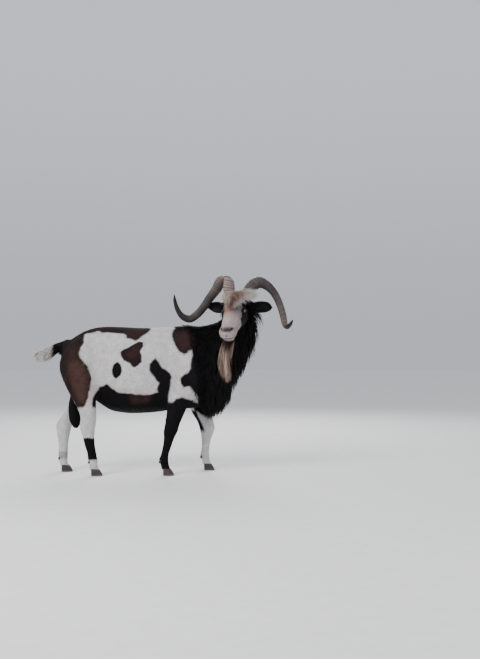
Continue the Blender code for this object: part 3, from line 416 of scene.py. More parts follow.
@dataclass
class Flesh:
    """The trunk, neck, legs, tail and scrotum as one skin under the coat.

    voxel is the size of the cells that fuse the forms, ease_rounds how often the joins are smoothed
    and leg_ease the least share of that on the lower legs. trunk_depth and leg_depth say how far the
    skin lies under the outer form of the coat. hock and stifle_top are the heights between which
    the smoothing sets in.
    """

    voxel: float = 0.0049
    ease_rounds: int = 40
    leg_ease: float = 0.06
    trunk_depth: float = 0.0055
    leg_depth: float = 0.0004
    hock: float = 0.28
    stifle_top: float = 0.40

    def trunk(self) -> Shell:
        """The barrel from the rump to the breast, on upright rings of half ellipses."""
        fine = spline(TRUNK, 68, [0])
        zero = np.zeros(len(fine))
        centres = np.stack([fine[:, 0], zero, fine[:, 4]], 1)
        up = np.stack([zero, zero, fine[:, 1] - fine[:, 4]], 1)
        down = np.stack([zero, zero, fine[:, 4] - fine[:, 2]], 1)
        side = np.stack([zero, fine[:, 3], zero], 1)
        return lofted(centres, up, down, side, 64)

    @staticmethod
    def neck_rings(count: int) -> tuple[Array, Array, Array, Array]:
        """Centres of the neck's rings and their half sizes to the crest, the throat and the side."""
        fine = spline(NECK, count, [0, 1, 2])
        slope = np.radians(fine[:, 3])
        bend = np.gradient(fine[:, 1], fine[:, 2])
        rise = np.stack([-np.sin(slope), 0 * slope, np.cos(slope)], 1)
        side = np.stack([0.35 * bend, np.ones(len(fine)), 0 * bend], 1) * fine[:, 6:7]
        return fine[:, :3], rise * fine[:, 4:5], rise * fine[:, 5:6], side

    @staticmethod
    def level_rings(rows: Array, side: int, count: int, around: int) -> Shell:
        """A leg-like skin of level ellipses.

        Args:
            rows: x, height, distance from the middle plane, half length, half width.
            side: Sign of y.
            count: Rings.
            around: Points in a ring.

        Returns:
            The skin.
        """
        fine = spline(rows, count, [0, 1])
        zero = np.zeros(len(fine))
        centres = np.stack([fine[:, 0], side * fine[:, 2], fine[:, 1]], 1)
        length = np.stack([fine[:, 3], zero, zero], 1)
        width = np.stack([zero, fine[:, 4], zero], 1)
        return lofted(centres, length, length, width, around)

    def tail(self) -> Shell:
        """The dock, on rings square to its path."""
        fine = spline(TAIL, 24, [0, 1])
        zero = np.zeros(len(fine))
        centres = np.stack([fine[:, 0], zero, fine[:, 1]], 1)
        along = unit(np.gradient(centres, axis=0))
        up = np.stack([along[:, 2], zero, -along[:, 0]], 1) * fine[:, 2:3]
        side = np.stack([zero, fine[:, 3], zero], 1)
        return lofted(centres, up, up, side, 24)

    def hollows(self, points: Array) -> Array:
        """How much deeper than even the skin lies: bells at the flank, behind the shoulder, in front
        of the thigh and along the ribs.

        Args:
            points: Places on the skin.

        Returns:
            Depths in metres.
        """
        x, side, z = points[:, 0], np.abs(points[:, 1]), points[:, 2]
        wall = ease(side, 0.05, 0.10)
        flank = 0.0075 * bump(np.hypot(x + 0.225, (z - 0.655) * 1.1), 0.060)
        stifle = 0.006 * bump(np.hypot(x + 0.262, (z - 0.50) * 0.55), 0.050)
        shoulder = 0.005 * bump(np.hypot(x - 0.10, (z - 0.62) * 0.4), 0.035)
        ribs = 0.0006 * (0.5 + 0.5 * np.sin((x + 0.25 * z) * 2 * math.pi / 0.047))
        cage = ease(x, -0.20, -0.12) * ease(x, 0.10, 0.03) * ease(z, 0.40, 0.48) * ease(z, 0.76, 0.68)
        return wall * (flank + stifle + shoulder + ribs * cage)

    def skin(self, name: str) -> bpy.types.Object:
        """All the forms fused, softened where they meet and drawn in by the depth of the coat.

        Args:
            name: The object's name.

        Returns:
            The skin, closed at the hooves.
        """
        shells = [self.trunk(), lofted(*self.neck_rings(32), 56), self.tail()]
        for rows, side in LEGS:
            shells.append(self.level_rings(rows, side.value, 80, 32))
        shells.append(self.level_rings(SCROTUM, 1, 24, 24))
        body = merged(shells).to_object(name)
        fuse = body.modifiers.new("fuse", "REMESH")
        fuse.mode = "VOXEL"
        fuse.voxel_size = self.voxel
        applied(body)
        group = body.vertex_groups.new(name="soft")
        heights = points_of(body)[:, 2]
        soft = np.clip((heights - self.hock) / (self.stifle_top - self.hock), self.leg_ease, 1.0)
        levels = np.round(soft * 25) / 25
        for level in np.unique(levels):
            group.add(np.flatnonzero(levels == level).tolist(), float(level), "REPLACE")
        soften = body.modifiers.new("soften", "SMOOTH")
        soften.factor = 0.5
        soften.iterations = self.ease_rounds
        soften.vertex_group = "soft"
        applied(body)
        points, normals = points_of(body), normals_of(body)
        share = ease(points[:, 2], 0.26, 0.46)
        depth = self.leg_depth + (self.trunk_depth - self.leg_depth) * share + self.hollows(points)
        move_points(body, points - normals * depth[:, None])
        body.data.shade_smooth()
        return body


LEGS = (
    (FORELEG_RIGHT, Side.RIGHT),
    (FORELEG_LEFT, Side.LEFT),
    (HINDLEG_RIGHT, Side.RIGHT),
    (HINDLEG_LEFT, Side.LEFT),
)


@dataclass(frozen=True)
class Palette:
    """The coat's colours, as linear red, green and blue."""

    white: Row = (0.57, 0.545, 0.550)
    cream: Row = (0.54, 0.445, 0.375)
    tan: Row = (0.25, 0.130, 0.085)
    rose: Row = (0.42, 0.275, 0.220)
    brown: Row = (0.030, 0.0155, 0.0135)
    rust: Row = (0.058, 0.030, 0.026)
    dark: Row = (0.017, 0.0100, 0.0105)
    black: Row = (0.0052, 0.0042, 0.0050)
    grey: Row = (0.125, 0.115, 0.130)
    pink: Row = (0.33, 0.26, 0.27)
    nose: Row = (0.090, 0.060, 0.062)


@dataclass(frozen=True)
class Patch:
    """A coloured patch of the pied coat, seen from one side of the goat.

    outline is its edge as x and z in millimetres, colour its name in the palette, soft how far its
    edge spreads and stray how much of the coat's disorder that edge takes.
    """

    outline: tuple[tuple[int, int], ...]
    colour: str
    soft: float = 0.0055
    stray: float = 1.0

    def share(self, points: Array, wander: Array) -> Array:
        """How much of the patch's colour each point takes.

        The signed distance to the outline, negative inside, is the least distance to its edges,
        with the sign found by counting edges crossed by a ray towards +x.

        Args:
            points: Places in the goat's frame.
            wander: How far the edge strays outwards at each place, in metres.

        Returns:
            Shares from 0 to 1.
        """
        start = MM * np.array(self.outline)
        edge = np.roll(start, -1, 0) - start
        place = points[:, None, [0, 2]] - start[None]
        t = np.clip((place * edge).sum(2) / (edge**2).sum(1), 0.0, 1.0)
        distance = np.linalg.norm(place - t[..., None] * edge, axis=2).min(1)
        above = points[:, None, 2] > start[None, :, 1]
        crosses = above != np.roll(above, -1, 1)
        reach = start[:, 0] + edge[:, 0] * place[..., 1] / np.where(edge[:, 1] == 0, 1e-9, edge[:, 1])
        inside = (crosses & (points[:, None, 0] < reach)).sum(1) % 2 == 1
        signed = np.where(inside, -distance, distance) - wander * self.stray
        return ease(signed, self.soft, -self.soft)


PATCHES = {
    Side.RIGHT: (
        Patch(((-540, 850), (-540, 660), (-336, 752), (-273, 764), (-246, 760), (-167, 754), (-123, 748),
               (-120, 730), (-77, 715), (-55, 726), (-36, 742), (-5, 764), (14, 790), (26, 850)), "dark"),
        Patch(((-118, 735), (-77, 724), (-50, 738), (-20, 768), (-60, 778), (-130, 768)), "brown", 0.016),
        Patch(((-540, 670), (-440, 735), (-350, 765), (-347, 726), (-345, 705), (-360, 678), (-368, 650),
               (-362, 625), (-345, 603), (-321, 580), (-312, 550), (-303, 514), (-305, 490), (-314, 452),
               (-322, 412), (-332, 382), (-350, 352), (-379, 349), (-400, 400), (-430, 320), (-540, 360)),
              "dark"),
        Patch(((-425, 660), (-405, 690), (-380, 690), (-368, 660), (-372, 615), (-345, 590), (-335, 560),
               (-400, 540), (-440, 580)), "brown", 0.022),
        Patch(((-375, 610), (-346, 588), (-324, 558), (-320, 523), (-318, 487), (-325, 441), (-336, 384),
               (-372, 384), (-392, 437), (-402, 480), (-425, 540), (-420, 590)), "rust", 0.020),
        Patch(((-155, 655), (-137, 669), (-91, 692), (-55, 712), (-32, 708), (-34, 683), (-48, 660),
               (-41, 637),
               (-40, 605), (-59, 582), (-77, 573), (-91, 580), (-100, 596), (-136, 610),
               (-150, 632)), "dark",
              0.003, 0.6),
        Patch(((-120, 650), (-85, 680), (-50, 700), (-42, 690), (-60, 655), (-62, 630), (-90, 620),
               (-118, 628)),
              "brown", 0.014),
        Patch(((-168, 604), (-150, 590), (-143, 560), (-151, 532), (-173, 513), (-190, 525), (-198, 560),
               (-190, 588)), "black", 0.002, 0.25),
        Patch(((32, 626), (14, 612), (0, 592), (0, 560), (18, 532), (41, 500), (52, 494), (44, 478),
               (41, 464),
               (46, 441), (0, 428), (-30, 300), (105, 300), (101, 396), (105, 441), (114, 487), (118, 528),
               (112, 545), (71, 573), (46, 605)), "black"),
        Patch(((-299, 413), (-262, 471), (-223, 487), (-172, 445), (-103, 437), (-24, 429), (42, 439),
               (98, 402), (103, 250), (-300, 250)), "black"),
        Patch(((-105, 430), (-40, 426), (10, 424), (5, 385), (-90, 380)), "brown", 0.016),
        Patch(((130, 850), (137, 787), (118, 755), (123, 723), (137, 692), (159, 655), (187, 646),
               (209, 660),
               (230, 673), (231, 637), (222, 600), (224, 569), (182, 537), (161, 516), (165, 489),
               (182, 468),
               (214, 473), (230, 453), (255, 425), (271, 396), (420, 250), (700, 400), (700, 1050),
               (214, 1050)), "black"),
        Patch(((128, 765), (128, 722), (145, 690), (165, 668), (190, 662), (225, 690), (240, 745),
               (215, 775)),
              "brown", 0.018),
        Patch(((119, 381), (140, 408), (177, 418), (214, 402), (262, 392), (360, 392), (360, 0), (0, 0),
               (87, 323)), "black"),
    ),
    Side.LEFT: (
        Patch(((-540, 850), (-540, 660), (-310, 735), (-210, 772), (-120, 742), (-30, 755), (18, 789),
               (26, 850)), "dark"),
        Patch(((-550, 660), (-440, 730), (-350, 765), (-285, 700), (-275, 620), (-310, 530), (-335, 460),
               (-360, 370), (-430, 340), (-452, 300), (-550, 360)), "dark"),
        Patch(((-400, 680), (-330, 660), (-325, 590), (-360, 500), (-420, 520),
               (-430, 600)), "brown", 0.022),
        Patch(((-198, 598), (-180, 636), (-138, 668), (-96, 656), (-50, 680), (-8, 660), (6, 622),
               (-12, 580),
               (-40, 556), (-46, 520), (-84, 486), (-118, 494), (-140, 520), (-172, 524),
               (-170, 560)), "dark"),
        Patch(((-168, 602), (-140, 642), (-94, 636), (-48, 656), (-24, 620), (-52, 574), (-84, 524),
               (-132, 548)),
              "brown", 0.018),
        Patch(((38, 498), (50, 522), (76, 531), (99, 514), (105, 478), (93, 446), (70, 430), (48, 442),
               (35, 470)), "black", 0.002, 0.4),
        Patch(((-260, 250), (-240, 420), (-170, 455), (-60, 410), (60, 420), (120, 380),
               (120, 250)), "black"),
        Patch(((150, 850), (150, 780), (115, 730), (120, 660), (165, 600), (190, 530), (175, 460),
               (225, 410),
               (250, 300), (420, 300), (700, 400), (700, 1050), (214, 1050)), "black"),
        Patch(((130, 735), (140, 665), (180, 620), (225, 660), (235, 740), (180, 775)), "brown", 0.018),
    ),
}


@dataclass(frozen=True)
class Markings:
    """The colours of the pied coat, as a function of the place on the goat."""

    palette: Palette = Palette()

    def plain(self, name: str, count: int) -> Array:
        """That many rows of one of the palette's colours."""
        return np.tile(np.array(getattr(self.palette, name)), (count, 1))

    def laid(self, colours: Array, name: str, cover: Array) -> Array:
        """The colours with one of the palette laid over them by the cover."""
        return colours + (np.array(getattr(self.palette, name)) - colours) * cover[:, None]

    def marked(self, colours: Array, marks: tuple[tuple[str, Array], ...]) -> Array:
        """The colours with each mark of a name and a cover laid over them in turn."""
        for name, cover in marks:
            colours = self.laid(colours, name, cover)
        return colours

    def body(self, points: Array) -> Array:
        """Colours of the trunk, neck, legs and tail.

        Each side's patches are laid over white by their shares, the two sides meet at y = 0 over a
        centimetre, and the edges stray by the sum of a coarse and a fine disorder.

        Args:
            points: Places in the goat's frame.

        Returns:
            Linear colours, N by 3.
        """
        wander = 0.0030 * waves(points, 0.060, 3) + 0.0010 * waves(points, 0.018, 4)
        colours = 0.0
        for side, patches in PATCHES.items():
            shares = tuple((patch.colour, patch.share(points, wander)) for patch in patches)
            one = self.marked(self.plain("white", len(points)), shares)
            colours = colours + one * ease(points[:, 1:2] * side.value, -0.006, 0.006)
        colours = self.tinged(points, colours)
        colours = self.legs(points, colours, wander)
        return self.tail(points, colours) * (1 + 0.05 * waves(points, 0.05, 8))[:, None]

    def tinged(self, points: Array, colours: Array) -> Array:
        """The white with a warm tinge behind the shoulder, on the ribs and at the belly's edge."""
        x, z = points[:, 0], points[:, 2]
        pale = ease(colours.mean(1), 0.25, 0.55)
        warm = bump(np.hypot(x - 0.150, (z - 0.500) * 0.6), 0.055)
        warm = warm + 0.5 * bump(np.hypot(x + 0.22, z - 0.60), 0.05)
        low = ease(z + 0.1 * x, 0.475, 0.430) * ease(x, 0.10, 0.02)
        return self.laid(colours, "cream", np.clip(0.38 * warm + 0.55 * low, 0, 1) * pale)

    def legs(self, points: Array, colours: Array, wander: Array) -> Array:
        """Socks, pasterns and the marks of each leg, by height.

        Args:
            points: Places in the goat's frame.
            colours: Their colours so far.
            wander: How far the edges stray.

        Returns:
            The colours with the legs' marks laid on.
        """
        x, y, z = points[:, 0], points[:, 1], points[:, 2] + wander
        inner = ease(np.abs(y), 0.050, 0.058)
        hind, fore = ease(x, -0.24, -0.26), ease(x, -0.02, 0.0) * ease(x, 0.42, 0.38)
        right, left = ease(y, 0.0, -0.01), ease(y, 0.0, 0.01)
        slope = fore * left * ease(x + 0.45 * (z - 0.30), 0.272, 0.262)
        rear = hind * left * ease(x + 0.42 * (z - 0.50), -0.437, -0.447) * ease(z, 0.56, 0.52)
        scrotum = ease(np.abs(y), 0.048, 0.042) * ease(x, -0.35, -0.36) * ease(z, 0.49, 0.46)
        marks = (
            ("white", hind * inner * ease(z, 0.372, 0.350)),
            ("black", hind * right * ease(z, 0.205, 0.197) * ease(z, 0.082, 0.090)),
            ("grey", 0.5 * hind * left * ease(z, 0.115, 0.105) * ease(z, 0.068, 0.078)),
            ("black", fore * right * ease(z, 0.40, 0.38)),
            ("white", fore * left * inner * ease(z + 0.5 * (x - 0.29), 0.315, 0.300)),
            ("black", slope * ease(z, 0.20, 0.23) * ease(z, 0.34, 0.32)),
            ("black", scrotum),
            ("cream", rear * ease(z, 0.33, 0.36) * 0.9),
        )
        return self.marked(colours, marks)

    def tail(self, points: Array, colours: Array) -> Array:
        """The tail's black root and its whitish end."""
        x, z = points[:, 0], points[:, 2]
        dock = ease(x, -0.462, -0.470) * ease(z, 0.52, 0.56) * ease(np.abs(points[:, 1]), 0.075, 0.060)
        end = dock * ease(x, -0.500, -0.512)
        return self.marked(colours, (("black", dock), ("white", end), ("cream", 0.35 * end)))

    def face(self, points: Array) -> Array:
        """Colours of the head: a cream blaze with a tan forehead between black cheeks, wider on the
        goat's left and greyed towards that side as painted shade, a pinkish white muzzle, a pad between the
        nostrils darkened both as dark nose leather and as painted shade under the nose, lips darkened both
        as dark lip skin and as painted shade along the mouth, and a dark chin.

        Args:
            points: Places in the goat's frame.

        Returns:
            Linear colours, N by 3.
        """
        along, side, above = HEAD_FRAME.local(points).T
        wander = 0.0025 * waves(points, 0.030, 5) + 0.001 * waves(points, 0.010, 6)
        colours = self.plain("black", len(points))
        places = [0.02, 0.05, 0.075, 0.10, 0.13, 0.17, 0.20, 0.235, 0.26]
        left = np.interp(along, places, [0.036, 0.030, 0.034, 0.042, 0.046, 0.050, 0.056, 0.050, 0.070])
        edge = [-0.050, -0.045, -0.044, -0.046, -0.050, -0.052, -0.050, -0.056, -0.070]
        right = np.interp(along, places, edge)
        floor = np.interp(along, [0.09, 0.13, 0.16, 0.20], [0.012, 0.006, -0.010, -0.018])
        blaze = ease(side - left - wander, 0.003, -0.003) * ease(side - right + wander, -0.003, 0.003)
        blaze = blaze * ease(above + wander, floor - 0.004, floor + 0.004)
        muzzle = ease(along + wander, 0.222, 0.232)
        colours = self.laid(colours, "white", np.maximum(blaze, muzzle))
        brow = bump(np.hypot(side + 0.014 - 0.02 * along, (along - 0.060) * 0.36), 0.016)
        tear = bump(np.hypot(side - 0.038, (along - 0.135) * 0.7), 0.012)
        lips = bump(above + 0.021, 0.004) * ease(along, 0.215, 0.235)
        pad = bump(np.hypot((side - 0.006) * 0.22, above - 0.0275), 0.0075) * ease(along, 0.245, 0.260)
        beard = ease(np.abs(side), 0.032, 0.018) * ease(above, -0.026, -0.035) * ease(along, 0.19, 0.22)
        marks = (
            ("cream", blaze * (0.45 + 0.50 * ease(along, 0.18, 0.08))),
            ("rose", blaze * (0.34 + 0.56 * ease(along, 0.21, 0.13))),
            ("tan", blaze * np.clip(0.82 * ease(along, 0.175, 0.115) + brow, 0, 0.95)),
            # Painted shade: the blaze is greyed towards the goat's left side, more strongly higher up the
            # face, standing in for the shade on that side of the face.
            ("grey", blaze * ease(side, -0.022, 0.026) * (0.45 + 0.40 * ease(along, 0.20, 0.13))),
            ("grey", blaze * (0.20 + 0.35 * tear)),
            ("pink", muzzle * 0.70),
            # Partly painted shade: the band between the nostrils is darkened both as dark nose leather and
            # as the shade under the nose's front.
            ("dark", np.clip(pad * 1.25, 0, 0.95)),
            # Partly painted shade: the band along the mouth is darkened both as dark lip skin and as the
            # shade of the mouth line.
            ("nose", lips * 0.65),
            ("dark", beard * 0.80),
        )
        return self.marked(colours, marks) * (1 + 0.06 * waves(points, 0.025, 9))[:, None]


@dataclass
class Head:
    """The skull, cheeks and muzzle with their folds, from the poll to the lips.

    eye and nostril are places along, to the side of and above the head's axis. coat_depth is how far
    the skin lies under the coat, and bridge how much wider the cheeks are over the nose's middle.
    """

    rings: int = 230
    around: int = 200
    coat_depth: float = 0.0016
    eye: Row = (0.108, 0.0530, 0.029)
    eye_radius: float = 0.0148
    nostril: Row = (0.265, 0.0280, 0.0285)
    mouth_corner: float = 0.212
    mouth_level: float = -0.0165
    bridge: float = 0.0055

    def eye_axes(self, side: Side) -> tuple[Array, Array, Array]:
        """Unit vectors of an eye: outwards, corner to corner and upwards."""
        forward, brow, left = HEAD_FRAME.axes()
        out = unit(left * side.value * 0.86 + forward * 0.28 + brow * 0.42)
        corner = unit(forward - out * (forward @ out))
        return out, corner, np.cross(out, corner) * side.value

    def eye_place(self, side: Side) -> Array:
        """The centre of an eyeball."""
        return HEAD_FRAME.place(self.eye[0], side.value * self.eye[1], self.eye[2])

    def section(self) -> tuple[Array, Array, Array, Array, Array, Array]:
        """The head's plain surface on a grid, before its folds.

        Each ring is above + up * cos(turn)^0.92 or - down * |cos(turn)|^0.92, and half width *
        sin(turn)^0.92, narrowed by 0.3 |cos|^1.3 below the axis.

        Returns:
            The distance along, to the left and above, and the unit outward direction's three parts
            along the head's axes.
        """
        rows = np.concatenate([HEAD[:-1], [(0.2895, 0.010, 0.022, 0.021), (0.2915, 0.001, 0.008, 0.006)]])
        rows[:, 3] += self.bridge * bump(rows[:, 0] - 0.185, 0.035)
        fine = spline(rows, self.rings, [0, 1, 3])
        turn = np.arange(self.around) * 2 * math.pi / self.around
        c, s = np.cos(turn), np.sin(turn)
        rise = np.sign(c) * np.abs(c) ** 0.92
        narrow = np.where(c < 0, 1 - 0.30 * np.abs(c) ** 1.3, 1.0)
        wide = np.sign(s) * np.abs(s) ** 0.92 * narrow
        above = np.where(c > 0, fine[:, 1:2], fine[:, 2:3]) * rise
        side = fine[:, 3:4] * wide
        along = np.repeat(fine[:, :1], self.around, 1)
        grid = np.stack([along, side, above], 2)
        by_ring = np.gradient(grid, axis=0)
        by_turn = np.roll(grid, -1, 1) - np.roll(grid, 1, 1)
        out = unit(np.cross(by_ring, by_turn))
        return (*np.moveaxis(grid, 2, 0), *np.moveaxis(out, 2, 0))

    def folds(self, along: Array, side: Array, above: Array) -> Array:
        """How far the head's surface stands out of its plain form: a sum of bells and grooves.

        The brows, cheek crests, jaw, nose wings, lips and chin stand out. The temples, the hollows
        before the eyes, the nostrils, the cleft of the lip and the line of the mouth go in.

        Args:
            along: Distance from the poll.
            side: Distance to the goat's left.
            above: Distance over the axis.

        Returns:
            Heights in metres, negative inwards.
        """
        wide = np.abs(side)
        brow = 0.0055 * bump(np.hypot(along - 0.098, (above - 0.047) * 0.9), 0.017)
        brow = brow * ease(wide, 0.030, 0.045)
        forehead = 0.0035 * bump(np.hypot(along - 0.072, side * 0.8), 0.028) * ease(above, 0.02, 0.05)
        temple = -0.0045 * bump(np.hypot(along - 0.068, above - 0.022), 0.018) * ease(wide, 0.035, 0.055)
        socket = -0.0050 * bump(np.hypot(along - 0.112, (above - 0.026) * 0.9), 0.018)
        socket = socket * ease(wide, 0.03, 0.045)
        tear = -0.0035 * bump(np.hypot((along - 0.150) * 0.6, above - 0.022), 0.010)
        tear = tear * ease(wide, 0.028, 0.038)
        crest = 0.0036 * bump(above - np.interp(along, [0.11, 0.20], [0.000, -0.002]), 0.009)
        crest = crest * ease(along, 0.115, 0.14) * ease(along, 0.205, 0.17) * ease(wide, 0.03, 0.045)
        jaw = 0.0045 * bump(np.hypot(along - 0.098, above + 0.045), 0.026) * ease(wide, 0.02, 0.04)
        bridge = -0.0030 * bump(wide - 0.030, 0.010) * ease(along, 0.15, 0.18) * ease(along, 0.255, 0.235)
        bridge = bridge * ease(above, 0.012, 0.022)
        wings = 0.0036 * bump(np.hypot(along - 0.264, (wide - 0.031) * 0.9), 0.012)
        wings = wings * ease(above, 0.004, 0.012)
        chin = 0.0042 * bump(np.hypot(along - 0.266, (above + 0.044) * 0.8), 0.016)
        chin = chin * ease(wide, 0.034, 0.020)
        bumps = brow + forehead + temple + socket + tear + crest + jaw + bridge + wings + chin
        return bumps + self.openings(along, side, above)

    def slit(self, along: Array, side: Array, above: Array) -> Array:
        """How far a place is from the nearer nostril, in nostril sizes: 1 at its edge.

        The slit runs up, back and outwards, so that distances along it count less than across it.

        Args:
            along: Distance from the poll.
            side: Distance to the goat's left.
            above: Distance over the axis.

        Returns:
            The distances.
        """
        ahead, over = along - self.nostril[0], above - self.nostril[2]
        length = (over - ahead) * math.sqrt(0.5)
        depth = (over + ahead) * math.sqrt(0.5)
        across = np.abs(side) - self.nostril[1] - 0.45 * length
        return np.sqrt((across * 1.15) ** 2 + (length * 0.60) ** 2 + (depth * 0.30) ** 2) / 0.0052

    def openings(self, along: Array, side: Array, above: Array) -> Array:
        """The grooves of the nostrils, the upper lip and the mouth, as depths below nought."""
        slit = self.slit(along, side, above)
        nose = -0.0080 * ease(slit, 1.20, 0.45)
        rim = 0.0017 * bump(slit - 1.6, 0.5)
        cleft = -0.0026 * bump(side, 0.0022) * ease(along, 0.278, 0.286) * ease(above, -0.018, -0.012)
        cleft = cleft * ease(above, 0.012, 0.004)
        level = self.mouth_level - 0.010 * ease(along, 0.268, self.mouth_corner)
        inside = ease(along, self.mouth_corner - 0.003, self.mouth_corner + 0.008)
        line = -0.0042 * bump(above - level, 0.0016) * inside
        lips = 0.0016 * bump(np.abs(above - level) - 0.0062, 0.0040) * ease(along, 0.225, 0.250)
        return nose + rim + cleft + line + lips

    def skin(self, name: str) -> bpy.types.Object:
        """The finished surface of the head, in the goat's frame.

        Args:
            name: The object's name.

        Returns:
            The head without its ears, eyes and horns.
        """
        along, side, above, *out = self.section()
        height = self.folds(along, side, above) - self.coat_depth * ease(along, 0.285, 0.26)
        moved = [axis + height * way for axis, way in zip((along, side, above), out)]
        grid = HEAD_FRAME.place(*moved).reshape(-1, 3)
        ends = np.stack([grid[: self.around].mean(0), grid[-self.around :].mean(0)])
        shell = Shell(np.concatenate([grid, ends]), *ring_faces(self.rings, self.around)).turned_out()
        return shell.to_object(name)


@dataclass
class Eye:
    """An eyeball with its level pupil, and the two lids that hold it.

    opening is the half width and half height of the gap between the lids.
    """

    head: Head
    side: Side
    lid_thick: float = 0.0023
    opening: tuple[float, float] = (0.0120, 0.0066)

    def ball(self, name: str) -> bpy.types.Object:
        """The eyeball: a sphere whose front third bulges by 0.6 mm as the cornea.

        Its attributes Across and Up give each point's place on the iris, in iris radii.

        Args:
            name: The object's name.

        Returns:
            The eyeball.
        """
        out, corner, up = self.head.eye_axes(self.side)
        rows, around = 48, 64
        tilt = np.linspace(0.0, math.pi, rows + 2)[1:-1]
        turn = np.arange(around) * 2 * math.pi / around
        radius = self.head.eye_radius + 0.0006 * bump(tilt, 0.55)
        far = np.cos(tilt)[:, None] * np.ones(around)
        across = np.sin(tilt)[:, None] * np.cos(turn)
        tall = np.sin(tilt)[:, None] * np.sin(turn)
        local = np.stack([far, across, tall], 2) * radius[:, None, None]
        ends = np.array([[radius[0], 0, 0], [-radius[-1], 0, 0]])
        local = np.concatenate([local.reshape(-1, 3), ends])
        points = self.head.eye_place(self.side) + local @ np.stack([out, corner, up])
        obj = Shell(points, *ring_faces(rows, around)).turned_out().to_object(name)
        iris = self.head.eye_radius * 0.66
        hidden = np.where(local[:, 0] > 0, 0.0, 9.0)
        store_value(obj, "Across", local[:, 1] / iris + hidden)
        store_value(obj, "Up", local[:, 2] / iris)
        return obj

    def lids(self, name: str) -> bpy.types.Object:
        """The lids: a cap over the eyeball with an almond opening whose edge is rolled.

        A point is centre + (ball radius + thickness) * direction, where the direction's tilt from
        the eye's axis runs from the opening's edge out to a right angle. The almond's edge lies at
        half width * cos(turn) and half height * sin(turn)^1.4.

        Args:
            name: The object's name.

        Returns:
            The pair of lids as one ring.
        """
        out, corner, up = self.head.eye_axes(self.side)
        around, steps = 96, 22
        turn = np.arange(around) * 2 * math.pi / around
        c, s = np.cos(turn), np.sin(turn)
        across = self.opening[0] * c
        tall = self.opening[1] * np.sign(s) * np.abs(s) ** 1.4 * np.where(s > 0, 0.72, 0.85) + 0.0008 * c
        radius = self.head.eye_radius
        edge = np.arcsin(np.hypot(across, tall) / radius)
        way = np.arctan2(tall, across)
        t = np.linspace(0.0, 1.0, steps)[:, None]
        tilt = edge + (math.radians(88) - edge) * t
        roll = self.lid_thick * (1 - 0.8 * bump(t, 0.10)) + 0.0006 * bump(t - 0.22, 0.12)
        shell = radius + roll - 0.004 * t**3
        far, flat = np.cos(tilt) * shell, np.sin(tilt) * shell
        outer = np.stack([far, flat * np.cos(way), flat * np.sin(way)], 2)
        inner_shell = radius - 0.0004
        low, wide = np.cos(tilt) * inner_shell, np.sin(tilt) * inner_shell
        inner = np.stack([low, wide * np.cos(way), wide * np.sin(way)], 2)[::-1]
        band = np.concatenate([outer, inner]).reshape(-1, 3)
        points = self.head.eye_place(self.side) + band @ np.stack([out, corner, up])
        i = np.arange(around)
        j = (i + 1) % around
        rings = 2 * steps
        k = np.arange(rings)[:, None]
        after = (k + 1) % rings
        quads = np.stack([k * around + i, k * around + j, after * around + j, after * around + i], 2)
        return Shell(points, quads.reshape(-1, 4), no_faces(3)).turned_out().to_object(name)


@dataclass
class Ear:
    """A leaf-shaped ear rolled into a cup, thick at its root and thin at its edge.

    base is its root's place along, to the side of and above the head's axis.
    """

    side: Side
    base: Row = (0.040, 0.058, 0.002)
    length: float = 0.128
    half_width: float = 0.030
    thick: float = 0.0030
    rows: int = 70
    columns: int = 44

    def axes(self) -> tuple[Array, Array, Array]:
        """Unit vectors out along the ear, out of its cup and across it."""
        forward, brow, left = HEAD_FRAME.axes()
        out = unit(left * self.side.value * 0.90 - forward * 0.18 - brow * 0.06)
        mouth = unit(forward * 0.80 + brow * 0.35 - np.array([0.0, 0.0, 0.25]))
        mouth = unit(mouth - out * (mouth @ out))
        return out, mouth, np.cross(out, mouth)

    def leaf(self, u: Array, v: Array) -> Array:
        """The middle surface: an arc across the ear whose half angle opens from 115 to 43 degrees.

        Width goes as 0.5 + 1.9 u - 1.75 u^2.2, drawn in at the tip by 1 - u^14, and the ear sags by
        10 mm times u squared. The front edge carries a shallow wave.

        Args:
            u: Share of the length, from the root.
            v: Place across, -1 to 1.

        Returns:
            The places, one for each pair of u and v.
        """
        out, mouth, across = self.axes()
        base = HEAD_FRAME.place(self.base[0], self.side.value * self.base[1], self.base[2])
        width = self.half_width * (0.50 + 1.9 * u - 1.75 * u**2.2) * (1 - u**14) + 0.0012
        roll = np.radians(115 - 72 * u**0.7)
        radius = width / np.sin(np.minimum(roll, 0.5 * math.pi))
        wave = 0.0016 * np.sin(u * 11.0) * v**2
        sideways = radius * np.sin(roll * v)
        deep = radius * (0.35 - np.cos(roll * v)) + wave
        place = base + out * (self.length * u)[..., None] + across * sideways[..., None]
        return place + mouth * deep[..., None] - np.array([0.0, 0.0, 0.010]) * (u**2)[..., None]

    def shell(self) -> Shell:
        """The ear as a closed leaf: the middle surface moved out and in by half its thickness."""
        u, v = np.meshgrid(np.linspace(0, 1, self.rows), np.linspace(-1, 1, self.columns), indexing="ij")
        middle = self.leaf(u, v)
        out = unit(np.cross(np.gradient(middle, axis=0), np.gradient(middle, axis=1)))
        half = self.thick / 2 * np.sqrt(np.clip(1 - v**4, 0.02, 1)) * (1.25 - 0.75 * u)
        half = half * np.sqrt(np.clip(1 - u**8, 0.02, 1))
        cells = self.rows * self.columns
        sheets = [middle + out * half[..., None], middle - out * half[..., None]]
        points = np.concatenate(sheets).reshape(-1, 3)
        top = grid_faces(self.rows, self.columns)
        grid = np.arange(cells).reshape(self.rows, self.columns)
        rim = np.concatenate([grid[0], grid[1:, -1], grid[-1, -2::-1], grid[-2:0:-1, 0]])
        after = np.roll(rim, -1)
        wall = np.stack([rim, after, after + cells, rim + cells], 1)
        return Shell(points, np.concatenate([top[:, ::-1], top + cells, wall]), no_faces(3)).turned_out()


